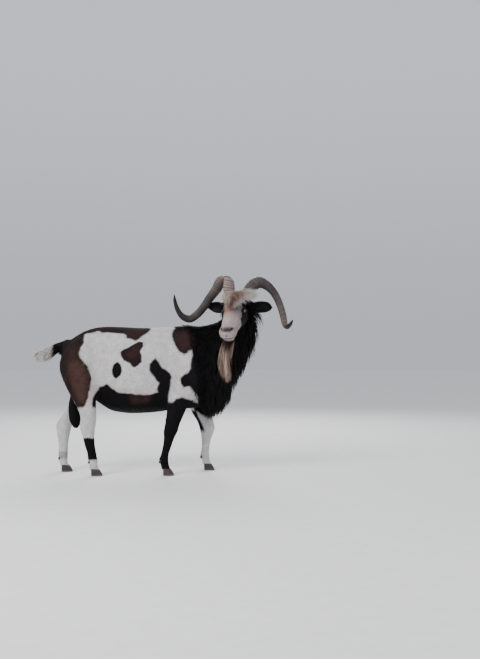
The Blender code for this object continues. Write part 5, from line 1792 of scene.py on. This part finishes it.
    def beard_piece(self) -> bpy.types.Object:
        """The beard, which hangs from the chin in three hanks with dark roots, the one on the goat's
        left short.

        The places across a hank are drawn in towards its middle by the direction of its hairs.
        """
        forward, brow, left = HEAD_FRAME.axes()
        places, normals = self.surface.scattered(self.beard_density, 81)
        along, side, _ = HEAD_FRAME.local(places).T
        hank = np.searchsorted([-0.009, 0.010], side)
        inward = (np.array([-0.064, -0.034, 0.014])[hank] - side) / 0.06
        lean = np.array([-0.05, -0.05, -0.10])[hank]
        down = np.array([0.0, 0.0, -1.0])
        ways = unit(left * (inward + lean)[:, None] - brow * 0.35 + forward * 0.06 + down)
        ends = unit(left * (np.array([0.10, 0.06, -0.26])[hank] - 0.3 * inward)[:, None] + down)
        lengths = np.array([0.235, 0.250, 0.130])[hank] - 1.5 * np.abs(along - 0.238)
        draw = np.random.default_rng(85).random(len(places))
        gaps = ease(waves(places, 0.006, 86), 0.15, 0.55)
        marks = (
            ("rose", 0.25 + 0.65 * ease(draw, 0.2, 0.8)),
            ("tan", np.where(hank == 2, 0.55, 0.10) * ease(draw, 0.4, 0.6)),
            ("brown", np.maximum(0.9 * gaps, 0.8 * ease(along, 0.228, 0.212))),
        )
        colours = self.markings.marked(self.markings.plain("cream", len(places)), marks)
        roots = Roots(places, normals, ways, ends)
        return self.surface.grown("hair_beard", roots, lengths, self.beard, colours, self.spread(places), 82)

    def cheek_density(self, places: Array) -> Array:
        """Roots of the cheeks' long hair per square metre, round and under the ears."""
        along, side, above = HEAD_FRAME.local(places).T
        round_ear = ease(np.hypot((along - 0.036) / 0.042, above / 0.062), 1.0, 0.8)
        return self.roots_cheeks * round_ear * ease(np.abs(side), 0.036, 0.046)

    def cheek_piece(self) -> bpy.types.Object:
        """The black hair of the cheeks, which runs back and down into the mane."""
        forward, _, left = HEAD_FRAME.axes()
        places, normals = self.surface.scattered(self.cheek_density, 76)
        side, above = HEAD_FRAME.local(places)[:, 1:].T[..., None]
        drop = np.array([0.0, 0.0, -0.90]) * (1 - 1.1 * ease(above, -0.01, 0.04))
        way = left * np.sign(side) * 0.50 - forward * 0.20 + drop
        roots = Roots(places, normals, unit(way - normals * 0.5 * (way * normals).sum(1)[:, None]))
        lengths = np.full(len(places), self.cheek_length)
        black = self.markings.plain("black", len(places))
        return self.surface.grown("hair_cheeks", roots, lengths, self.cheeks, black, self.spread(places), 77)

    def ear_piece(self, ear: bpy.types.Object, shape: Ear) -> bpy.types.Object:
        """The short coat of one ear, lying out towards its tip, shorter there.

        Args:
            ear: The ear's skin.
            shape: The ear.

        Returns:
            The piece.
        """
        out = shape.axes()[0]
        skin = Surface(ear)
        places, normals = skin.scattered(lambda middles: np.full(len(middles), self.roots_ear), 91)
        draw = np.random.default_rng(92)
        way = out - normals * (normals @ out)[:, None]
        roots = Roots(places, normals, unit(way + 0.15 * draw.normal(size=places.shape)))
        start = HEAD_FRAME.place(shape.base[0], shape.side.value * shape.base[1], shape.base[2])
        share = (places - start) @ out / shape.length
        lengths = np.interp(share, [0.0, 0.5, 1.0], [0.013, 0.009, 0.004])
        dark = np.array(self.markings.palette.black) * draw.uniform(0.8, 1.6, (len(places), 1))
        unwrap = Cylinder(tuple(start), tuple(start + out * shape.length)).spread(places)
        return skin.grown(f"coat_ear_{shape.side.word}", roots, lengths, self.ear, dark, unwrap, 93)


Value = float | tuple[float, ...] | bpy.types.NodeSocket


@dataclass
class Web:
    """One tree of shader nodes, with short ways to add to it."""

    tree: bpy.types.NodeTree

    def add(self, kind: str, inputs: dict[str | int, Value], **settings: object) -> bpy.types.Node:
        """Adds a node.

        Args:
            kind: The node's type.
            inputs: Values or sockets for its inputs, by name or number.
            settings: The node's own properties.

        Returns:
            The node.
        """
        node = self.tree.nodes.new(kind)
        for key, value in settings.items():
            setattr(node, key, value)
        for key, value in inputs.items():
            if isinstance(value, bpy.types.NodeSocket):
                self.tree.links.new(value, node.inputs[key])
            else:
                node.inputs[key].default_value = value
        return node

    def stored(self, name: str, output: str = "Fac") -> bpy.types.NodeSocket:
        """The value stored on the mesh under that name, or its colour from the output Color."""
        return self.add("ShaderNodeAttribute", {}, attribute_name=name).outputs[output]

    def place(self) -> bpy.types.NodeSocket:
        """Object coordinates."""
        return self.add("ShaderNodeTexCoord", {}).outputs["Object"]

    def sum(self, operation: str, a: Value, b: Value = 0.0, c: Value = 0.0) -> bpy.types.NodeSocket:
        """One operation on numbers."""
        return self.add("ShaderNodeMath", {0: a, 1: b, 2: c}, operation=operation).outputs[0]

    def spread(
        self, value: Value, low: float, high: float, out_low: float, out_high: float
    ) -> bpy.types.NodeSocket:
        """A smooth step from one range to another."""
        inputs = {"Value": value, "From Min": low, "From Max": high, "To Min": out_low, "To Max": out_high}
        return self.add("ShaderNodeMapRange", inputs, interpolation_type="SMOOTHSTEP").outputs["Result"]

    def mix(self, share: Value, a: Value, b: Value, blend: str = "MIX") -> bpy.types.NodeSocket:
        """Two colours mixed."""
        node = self.add("ShaderNodeMix", {}, data_type="RGBA", blend_type=blend)
        for number, value in ((0, share), (6, a), (7, b)):
            if isinstance(value, bpy.types.NodeSocket):
                self.tree.links.new(value, node.inputs[number])
            else:
                node.inputs[number].default_value = (*value, 1.0) if isinstance(value, tuple) else value
        return node.outputs[2]

    def grey(self, value: Value) -> bpy.types.NodeSocket:
        """A grey of that lightness."""
        return self.add("ShaderNodeCombineColor", {0: value, 1: value, 2: value}).outputs[0]

    def noise(
        self, vector: Value, scale: float, detail: float = 3.0, rough: float = 0.5
    ) -> bpy.types.NodeSocket:
        """Fractal noise, 0 to 1."""
        inputs = {"Vector": vector, "Scale": scale, "Detail": detail, "Roughness": rough}
        return self.add("ShaderNodeTexNoise", inputs).outputs["Fac"]

    def stretched(self, vector: Value, scale: Row, turn: Row = (0.0, 0.0, 0.0)) -> bpy.types.NodeSocket:
        """A vector turned and scaled along each axis."""
        inputs = {"Vector": vector, "Rotation": turn, "Scale": scale}
        return self.add("ShaderNodeMapping", inputs).outputs["Vector"]


def effect(
    name: str, takes: dict[str, str], gives: dict[str, str]
) -> tuple[Web, bpy.types.Node, bpy.types.Node]:
    """A new group of nodes with named sockets.

    Args:
        name: The group's name.
        takes: Names and types of its inputs.
        gives: Names and types of its outputs.

    Returns:
        Its web, its input node and its output node.
    """
    tree = bpy.data.node_groups.new(name, "ShaderNodeTree")
    for label, kind in takes.items():
        tree.interface.new_socket(label, in_out="INPUT", socket_type=kind)
    for label, kind in gives.items():
        tree.interface.new_socket(label, in_out="OUTPUT", socket_type=kind)
    return Web(tree), tree.nodes.new("NodeGroupInput"), tree.nodes.new("NodeGroupOutput")


def linked(web: Web, end: bpy.types.Node, results: dict[str, bpy.types.NodeSocket]) -> bpy.types.NodeTree:
    """Joins a group's results to its output node.

    Args:
        web: The group's web.
        end: Its output node.
        results: A socket for each output.

    Returns:
        The group.
    """
    for label, socket in results.items():
        web.tree.links.new(socket, end.inputs[label])
    return web.tree


COLOUR, NUMBER, VECTOR = "NodeSocketColor", "NodeSocketFloat", "NodeSocketVector"


def fur_grain() -> bpy.types.NodeTree:
    """The nap of short hair on a skin: fine streaks down the body over soft blotches."""
    gives = {"Colour": COLOUR, "Height": NUMBER}
    web, start, end = effect("Fur Nap", {"Coat": COLOUR, "Place": VECTOR}, gives)
    drawn_out = web.stretched(start.outputs["Place"], (260.0, 620.0, 160.0), (0.0, 0.5, 0.0))
    streaks = web.noise(drawn_out, 1.0, 4.0, 0.6)
    blotches = web.noise(start.outputs["Place"], 34.0, 3.0)
    shade = web.spread(streaks, 0.3, 0.7, 0.62, 1.12)
    tint = web.sum("MULTIPLY", shade, web.spread(blotches, 0.3, 0.7, 0.9, 1.08))
    colour = web.mix(1.0, start.outputs["Coat"], web.grey(tint), "MULTIPLY")
    return linked(web, end, {"Colour": colour, "Height": streaks})


def hair_shade() -> bpy.types.NodeTree:
    """The colour along a tuft: darker at its root as painted shade deep in the coat, and paler at its end as
    painted light through the tip, which is also drier.
    """
    takes = {"Coat": COLOUR, "Strand": NUMBER, "Place": VECTOR}
    web, start, end = effect("Hair Shade", takes, {"Colour": COLOUR, "Roughness": NUMBER})
    strand = start.outputs["Strand"]
    # Painted shade: each tuft's root is darkened, standing in for the shade deep in the coat.
    depth = web.spread(strand, 0.0, 0.55, 0.58, 1.0)
    # Painted light: each tuft's tip is lightened, standing in for light shining through it.
    tip = web.spread(strand, 0.6, 1.0, 1.0, 1.16)
    fleck = web.spread(web.noise(start.outputs["Place"], 210.0, 2.0), 0.3, 0.7, 0.86, 1.12)
    tint = web.sum("MULTIPLY", web.sum("MULTIPLY", depth, tip), fleck)
    colour = web.mix(1.0, start.outputs["Coat"], web.grey(tint), "MULTIPLY")
    return linked(web, end, {"Colour": colour, "Roughness": web.spread(strand, 0.0, 1.0, 0.68, 0.54)})


def horn_growth_and_shade() -> bpy.types.NodeTree:
    """Horn: paler on the rings' crests and above, darkened in the grooves and on the underside as painted
    shade, and dark at the tip, with fine lines across it."""
    web, start, end = effect(
        "Horn Growth And Shade",
        {"Along": NUMBER, "Ridge": NUMBER, "Under": NUMBER, "Pale": NUMBER, "Place": VECTOR},
        {"Colour": COLOUR, "Roughness": NUMBER, "Height": NUMBER},
    )
    along, ridge, under, pale = (start.outputs[name] for name in ("Along", "Ridge", "Under", "Pale"))
    grain = web.noise(start.outputs["Place"], 95.0, 5.0, 0.65)
    patches = web.noise(start.outputs["Place"], 26.0, 3.0)
    dull = web.mix(web.spread(patches, 0.35, 0.65, 0.0, 1.0), (0.026, 0.020, 0.021), (0.060, 0.047, 0.048))
    base = web.mix(pale, dull, (0.40, 0.30, 0.265))
    # Painted shade: the grooves between the rings are darkened.
    groove = web.mix(web.spread(ridge, 0.0, 0.75, 0.70, 0.0), base, (0.022, 0.016, 0.015))
    # Painted shade: the underside of the horn is darkened.
    below = web.mix(web.spread(under, 0.40, 0.90, 0.0, 0.70), groove, (0.016, 0.012, 0.012))
    tip = web.mix(web.spread(along, 0.86, 0.96, 0.0, 0.92), below, (0.008, 0.006, 0.006))
    dry, below_tip = web.spread(grain, 0.50, 0.8, 0.0, 0.40), web.spread(along, 0.90, 0.80, 0.0, 1.0)
    dust = web.sum("MULTIPLY", dry, below_tip)
    dusty = web.mix(dust, tip, (0.13, 0.105, 0.10))
    lines = web.sum("SINE", web.sum("MULTIPLY", along, 1500.0))
    height = web.sum("ADD", web.sum("MULTIPLY", lines, 0.18), grain)
    rough = web.spread(grain, 0.3, 0.7, 0.42, 0.62)
    return linked(web, end, {"Colour": dusty, "Roughness": rough, "Height": height})


def hoof_wall() -> bpy.types.NodeTree:
    """Hoof horn: growth rings round it, fine lines down it and dry dust near the floor."""
    gives = {"Colour": COLOUR, "Roughness": NUMBER, "Height": NUMBER}
    web, start, end = effect("Hoof Wall", {"Place": VECTOR}, gives)
    place = start.outputs["Place"]
    rings = web.noise(web.stretched(place, (25.0, 25.0, 420.0)), 1.0, 3.0)
    lines = web.noise(web.stretched(place, (650.0, 650.0, 40.0)), 1.0, 3.0)
    level = web.add("ShaderNodeSeparateXYZ", {0: place}).outputs["Z"]
    base = web.mix(web.spread(rings, 0.35, 0.65, 0.0, 1.0), (0.018, 0.014, 0.013), (0.050, 0.039, 0.033))
    dusty = web.mix(web.spread(level, 0.012, 0.0, 0.0, 0.5), base, (0.19, 0.155, 0.12))
    height = web.sum("ADD", rings, web.sum("MULTIPLY", lines, 0.5))
    rough = web.spread(lines, 0.3, 0.7, 0.42, 0.62)
    return linked(web, end, {"Colour": dusty, "Roughness": rough, "Height": height})


def iris_pattern() -> bpy.types.NodeTree:
    """The eye: an amber iris with spokes, a level bar of a pupil, a dark rim and a brown white."""
    gives = {"Colour": COLOUR, "Roughness": NUMBER}
    web, start, end = effect("Iris", {"Across": NUMBER, "Up": NUMBER}, gives)
    across, up = start.outputs["Across"], start.outputs["Up"]
    far = web.sum("SQRT", web.sum("ADD", web.sum("POWER", across, 2.0), web.sum("POWER", up, 2.0)))
    bar_x = web.sum("POWER", web.sum("ABSOLUTE", web.sum("DIVIDE", across, 0.72)), 4.0)
    bar_z = web.sum("POWER", web.sum("ABSOLUTE", web.sum("DIVIDE", up, 0.27)), 4.0)
    bar = web.spread(web.sum("ADD", bar_x, bar_z), 0.8, 1.25, 1.0, 0.0)
    angle = web.sum("ARCTAN2", up, across)
    spoke_at = web.add("ShaderNodeCombineXYZ", {0: web.sum("MULTIPLY", angle, 9.0), 1: far}).outputs[0]
    spokes = web.noise(spoke_at, 2.2, 4.0)
    amber = web.mix(web.spread(spokes, 0.3, 0.7, 0.0, 1.0), (0.045, 0.021, 0.009), (0.12, 0.062, 0.020))
    ring = web.mix(web.spread(far, 0.60, 0.98, 0.0, 0.95), amber, (0.020, 0.010, 0.006))
    white = web.mix(web.spread(far, 1.02, 1.25, 0.0, 1.0), ring, (0.026, 0.015, 0.012))
    pupil = web.mix(bar, white, (0.004, 0.004, 0.005))
    return linked(web, end, {"Colour": pupil, "Roughness": web.spread(far, 0.0, 1.4, 0.08, 0.16)})


@dataclass(frozen=True)
class Finish:
    """A material made of one effect, read from the mesh's own attributes.

    reads lists the attributes that the effect takes. roughness, specular, coat, bump and deep are
    constants of the shader and of its bump node.
    """

    name: str
    effect: Callable[[], bpy.types.NodeTree]
    reads: tuple[str, ...] = ()
    roughness: float = 0.7
    specular: float = 0.35
    coat: float = 0.0
    bump: float = 0.0
    deep: float = 0.001

    def made(self) -> bpy.types.Material:
        """The material, made once and shared."""
        return bpy.data.materials.get(self.name) or self.new()

    def new(self) -> bpy.types.Material:
        """Makes the material: stored attributes go through the effect into the shader."""
        material = bpy.data.materials.new(self.name)
        material.use_nodes = True
        web = Web(material.node_tree)
        shader = material.node_tree.nodes["Principled BSDF"]
        tree = bpy.data.node_groups.get(self.name + " effect") or self.effect()
        tree.name = self.name + " effect"
        group = web.add("ShaderNodeGroup", {}, node_tree=tree)
        for label in self.reads:
            output = "Color" if label == "Coat" else "Fac"
            web.tree.links.new(web.stored(label, output), group.inputs[label])
        if "Place" in group.inputs:
            web.tree.links.new(web.place(), group.inputs["Place"])
        web.tree.links.new(group.outputs["Colour"], shader.inputs["Base Color"])
        shader.inputs["Roughness"].default_value = self.roughness
        if "Roughness" in group.outputs:
            web.tree.links.new(group.outputs["Roughness"], shader.inputs["Roughness"])
        shader.inputs["Specular IOR Level"].default_value = self.specular
        shader.inputs["Coat Weight"].default_value = self.coat
        shader.inputs["Coat Roughness"].default_value = 0.04
        if self.bump:
            inputs = {"Height": group.outputs["Height"], "Strength": self.bump, "Distance": self.deep}
            raised = web.add("ShaderNodeBump", inputs)
            web.tree.links.new(raised.outputs["Normal"], shader.inputs["Normal"])
        return material

    def dress(self, *objects: bpy.types.Object) -> None:
        """Gives the objects this material alone."""
        for obj in objects:
            obj.data.materials.clear()
            obj.data.materials.append(self.made())


SKIN_FINISH = Finish("short_fur", fur_grain, ("Coat",), 0.85, 0.08, bump=0.45)
FACE_FINISH = Finish("face_skin", fur_grain, ("Coat",), 0.65, 0.18, bump=0.30, deep=0.0006)
HAIR_FINISH = Finish("coat_hair", hair_shade, ("Coat", "Strand"), specular=0.10)
HORN_FINISH = Finish(
    "ringed_horn", horn_growth_and_shade, ("Along", "Ridge", "Under", "Pale"), specular=0.28, bump=0.6
)
HOOF_FINISH = Finish("hoof_horn", hoof_wall, (), 0.5, 0.35, bump=0.5, deep=0.0006)
EYE_FINISH = Finish("amber_eye", iris_pattern, ("Across", "Up"), 0.1, 0.6, coat=1.0)


@dataclass
class Goat:
    """The whole dressed goat: its pieces, what they stand for and where they go.

    skin_shade is how light the skin is painted against the coat that grows on it: darker, both as painted
    shade where the skin shows between the tufts and as darker underfur.
    """

    skin_shade: float = 0.88
    markings: Markings = field(default_factory=Markings)
    head: Head = field(default_factory=Head)
    made: list[bpy.types.Object] = field(default_factory=list)

    def keep(self, obj: bpy.types.Object, slot: str, finish: Finish, *nodes: str) -> bpy.types.Object:
        """Dresses a piece, hides the solids that it stands for and puts it on the list.

        Args:
            obj: The piece.
            slot: Not used.
            finish: Its finish.
            nodes: The solids.

        Returns:
            The piece.
        """
        finish.dress(obj)
        if nodes:
            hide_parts(*nodes)
        self.made.append(obj)
        LOG.info("%s: %d faces", obj.name, len(obj.data.polygons))
        return obj

    def body(self) -> None:
        """The skin of the trunk, neck, legs and tail with its coat."""
        skin = Flesh().skin("skin")
        # Painted shade and underfur: the skin's colour is darkened by skin_shade where it shows between the
        # tufts.
        store_colour(skin, "Coat", self.markings.body(points_of(skin)) * self.skin_shade)
        nodes = ["torso", "neck", "tail", "scrotum"]
        nodes += [f"{end}leg_{side.word}" for end in ("fore", "hind") for side in Side]
        self.keep(skin, "pied_coat", SKIN_FINISH, *nodes)
        for piece in BodyCoat(Surface(skin), self.markings).build():
            self.keep(piece, "dark_coat" if "long" in piece.name else "pied_coat", HAIR_FINISH)

    def face(self) -> None:
        """The head with its eyes, ears and hair."""
        skin = self.head.skin("head_skin")
        store_colour(skin, "Coat", self.face_colours(points_of(skin)))
        self.keep(skin, "face", FACE_FINISH, "head")
        coat = HeadCoat(Surface(skin), self.markings, self.head)
        self.keep(coat.short_coat(), "face", HAIR_FINISH)
        self.keep(coat.forelock_piece(), "long_pale_hair", HAIR_FINISH, "forelock")
        self.keep(coat.beard_piece(), "long_pale_hair", HAIR_FINISH, "beard")
        self.keep(coat.cheek_piece(), "dark_coat", HAIR_FINISH)
        for side in Side:
            eye = Eye(self.head, side)
            self.keep(eye.ball(f"eyeball_{side.word}"), "eye", EYE_FINISH, f"eye_{side.word}")
            lids = eye.lids(f"lids_{side.word}")
            ear = Ear(side)
            leaf = ear.shell().to_object(f"ear_skin_{side.word}")
            for piece in (lids, leaf):
                store_colour(piece, "Coat", self.markings.plain("black", len(piece.data.vertices)))
            self.keep(lids, "face", FACE_FINISH)
            self.keep(leaf, "dark_coat", FACE_FINISH, f"ear_{side.word}")
            self.keep(coat.ear_piece(leaf, ear), "dark_coat", HAIR_FINISH)

    def face_colours(self, points: Array) -> Array:
        """The face's colours, darkened inside the nostrils and between the lips as painted shade in those
        openings.
        """
        colours = self.markings.face(points)
        along, side, above = HEAD_FRAME.local(points).T
        depth = -np.minimum(self.head.openings(along, side, above), 0.0)
        # Painted shade: the deeper a place lies in a nostril or the mouth's groove, the darker it is
        # painted.
        dark = ease(depth, 0.0008, 0.0035)[:, None]
        return colours + (np.array(self.markings.palette.dark) * 0.5 - colours) * dark

    def horns(self) -> None:
        """Both horns."""
        right_pale = ((0.0, 0.40), (0.12, 0.72), (0.24, 0.60), (0.36, 0.20), (0.46, 0.05), (1.0, 0.0))
        left_pale = (
            (0.0, 0.14), (0.30, 0.10), (0.45, 0.03), (0.60, 0.14), (0.75, 0.28), (0.86, 0.40), (0.90, 0.0)
        )
        right = Horn(HORN_RIGHT, math.radians(38), math.radians(80), 0.76, right_pale, 5)
        left = Horn(HORN_LEFT, math.radians(5), 0.0, 1.0, left_pale, 6)
        self.keep(right.build("horn_ringed_right"), "horn", HORN_FINISH, "horn_right")
        self.keep(left.build("horn_ringed_left"), "horn", HORN_FINISH, "horn_left")

    def hooves(self) -> None:
        """The claws and dew claws of all four feet."""
        for (rows, side), end in zip(LEGS, ("fore", "fore", "hind", "hind")):
            hoof = Hoof(rows, side)
            name = f"{end}hoof_{side.word}"
            self.keep(hoof.build(f"claws_{end}_{side.word}"), "hoof", HOOF_FINISH, name)
            self.keep(hoof.dew_claws(f"dew_claws_{end}_{side.word}"), "hoof", HOOF_FINISH)

    def placed(self) -> Vector:
        """Moves every piece from the measuring frame to the solids and makes it ride on the root.

        Returns:
            How far they moved.
        """
        low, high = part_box("eye_left")
        shift = (low + high) / 2 - Vector(self.head.eye_place(Side.LEFT))
        for obj in self.made:
            obj.data.transform(Matrix.Translation(shift))
            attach(obj, "root")
        LOG.info("%d pieces moved by %s", len(self.made), tuple(round(v, 4) for v in shift))
        return shift


@dataclass(frozen=True)
class Studio:
    """A plain pale floor, soft light and the camera at the photograph's angle.

    rise is the camera's angle over the level. aside and below are how many pixels the target lies
    from the middle of the picture.
    """

    floor_side: float = 40.0
    lens: float = 50.0
    picture_height: float = 659.0
    target: Row = (0.082, 0.0, 0.557)
    distance: float = 5.0
    rise: float = math.radians(1.6)
    aside: float = 75.0
    below: float = 40.5

    def floor(self) -> None:
        """A large flat floor just under the hooves."""
        half = self.floor_side / 2
        points = np.array([(-half, -half, 0), (half, -half, 0), (half, half, 0), (-half, half, 0)], float)
        points[:, 2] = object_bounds()[0].z - 0.0005
        obj = Shell(points, np.array([[0, 1, 2, 3]]), no_faces(3)).to_object("floor", smooth=False)
        material = bpy.data.materials.new("studio_floor")
        material.use_nodes = True
        web = Web(material.node_tree)
        grain = web.noise(web.place(), 18.0, 4.0)
        colour = web.mix(web.spread(grain, 0.3, 0.7, 0.0, 1.0), (0.77, 0.765, 0.755), (0.80, 0.795, 0.785))
        shader = material.node_tree.nodes["Principled BSDF"]
        web.tree.links.new(colour, shader.inputs["Base Color"])
        shader.inputs["Roughness"].default_value = 0.85
        obj.data.materials.append(material)
        obj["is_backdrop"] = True

    def light(self, name: str, place: Row, aim: Row, side: float, power: float) -> None:
        """A square soft light.

        Args:
            name: Its name.
            place: Where it hangs.
            aim: What it points at.
            side: Its side.
            power: Its power in watts.
        """
        lamp = bpy.data.lights.new(name, "AREA")
        lamp.shape = "SQUARE"
        lamp.size = side
        lamp.energy = power
        obj = bpy.data.objects.new(name, lamp)
        obj.location = place
        obj.rotation_euler = (Vector(aim) - Vector(place)).to_track_quat("-Z", "Y").to_euler()
        bpy.context.scene.collection.objects.link(obj)

    def lights(self) -> None:
        """A high key from the camera's left, a broad fill from the front and a rim from behind."""
        self.light("key", (-2.6, -3.0, 3.4), (0.0, 0.0, 0.6), 2.2, 220.0)
        self.light("fill", (2.6, -3.6, 1.6), (0.1, 0.0, 0.5), 3.0, 45.0)
        self.light("rim", (0.6, 3.4, 3.0), (0.0, 0.0, 0.7), 2.4, 130.0)
        world = bpy.data.worlds.new("studio")
        world.use_nodes = True
        bpy.context.scene.world = world
        background = world.node_tree.nodes["Background"]
        background.inputs["Color"].default_value = (0.90, 0.93, 1.0, 1.0)
        web = Web(world.node_tree)
        heading = web.add("ShaderNodeTexCoord", {}).outputs["Generated"]
        rise = web.add("ShaderNodeSeparateXYZ", {0: heading}).outputs["Z"]
        web.tree.links.new(web.spread(rise, 0.0, 0.30, 0.62, 0.80), background.inputs["Strength"])

    def camera(self, shift: Vector) -> None:
        """The camera, level with the back, turned so that the goat lies as it does in the frame.

        Args:
            shift: From the measuring frame to the solids.
        """
        focal = self.lens / 36.0 * self.picture_height
        target = Vector(self.target) + shift
        back = Vector((0.0, -math.cos(self.rise), math.sin(self.rise)))
        camera = bpy.data.cameras.new("photo_angle")
        camera.lens = self.lens
        camera.sensor_width = 36.0
        obj = bpy.data.objects.new("photo_angle", camera)
        look = (-back).to_track_quat("-Z", "Y").to_matrix()
        turned = look @ Matrix.Rotation(-math.atan(self.aside / focal), 3, "Y")
        turned = turned @ Matrix.Rotation(math.atan(self.below / focal), 3, "X")
        obj.matrix_world = Matrix.Translation(target + back * self.distance) @ turned.to_4x4()
        bpy.context.scene.collection.objects.link(obj)
        bpy.context.scene.camera = obj


def corners(box: tuple[Vector, Vector]) -> list[list[float]]:
    """A box's lowest and highest corner as plain lists."""
    return [list(corner) for corner in box]


def main() -> None:
    """Builds, dresses and places the goat, then the studio."""
    logging.basicConfig(level=logging.INFO, format="%(message)s", stream=sys.stdout)
    solid_size = corners(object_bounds())
    goat = Goat()
    goat.body()
    goat.face()
    goat.horns()
    goat.hooves()
    shift = goat.placed()
    studio = Studio()
    studio.floor()
    studio.lights()
    studio.camera(shift)
    {"cad": solid_size, "visual": corners(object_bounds())}
    LOG.info("solids %s", solid_size)
    LOG.info("visual %s", corners(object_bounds()))


if __name__ == "__main__":
    main()
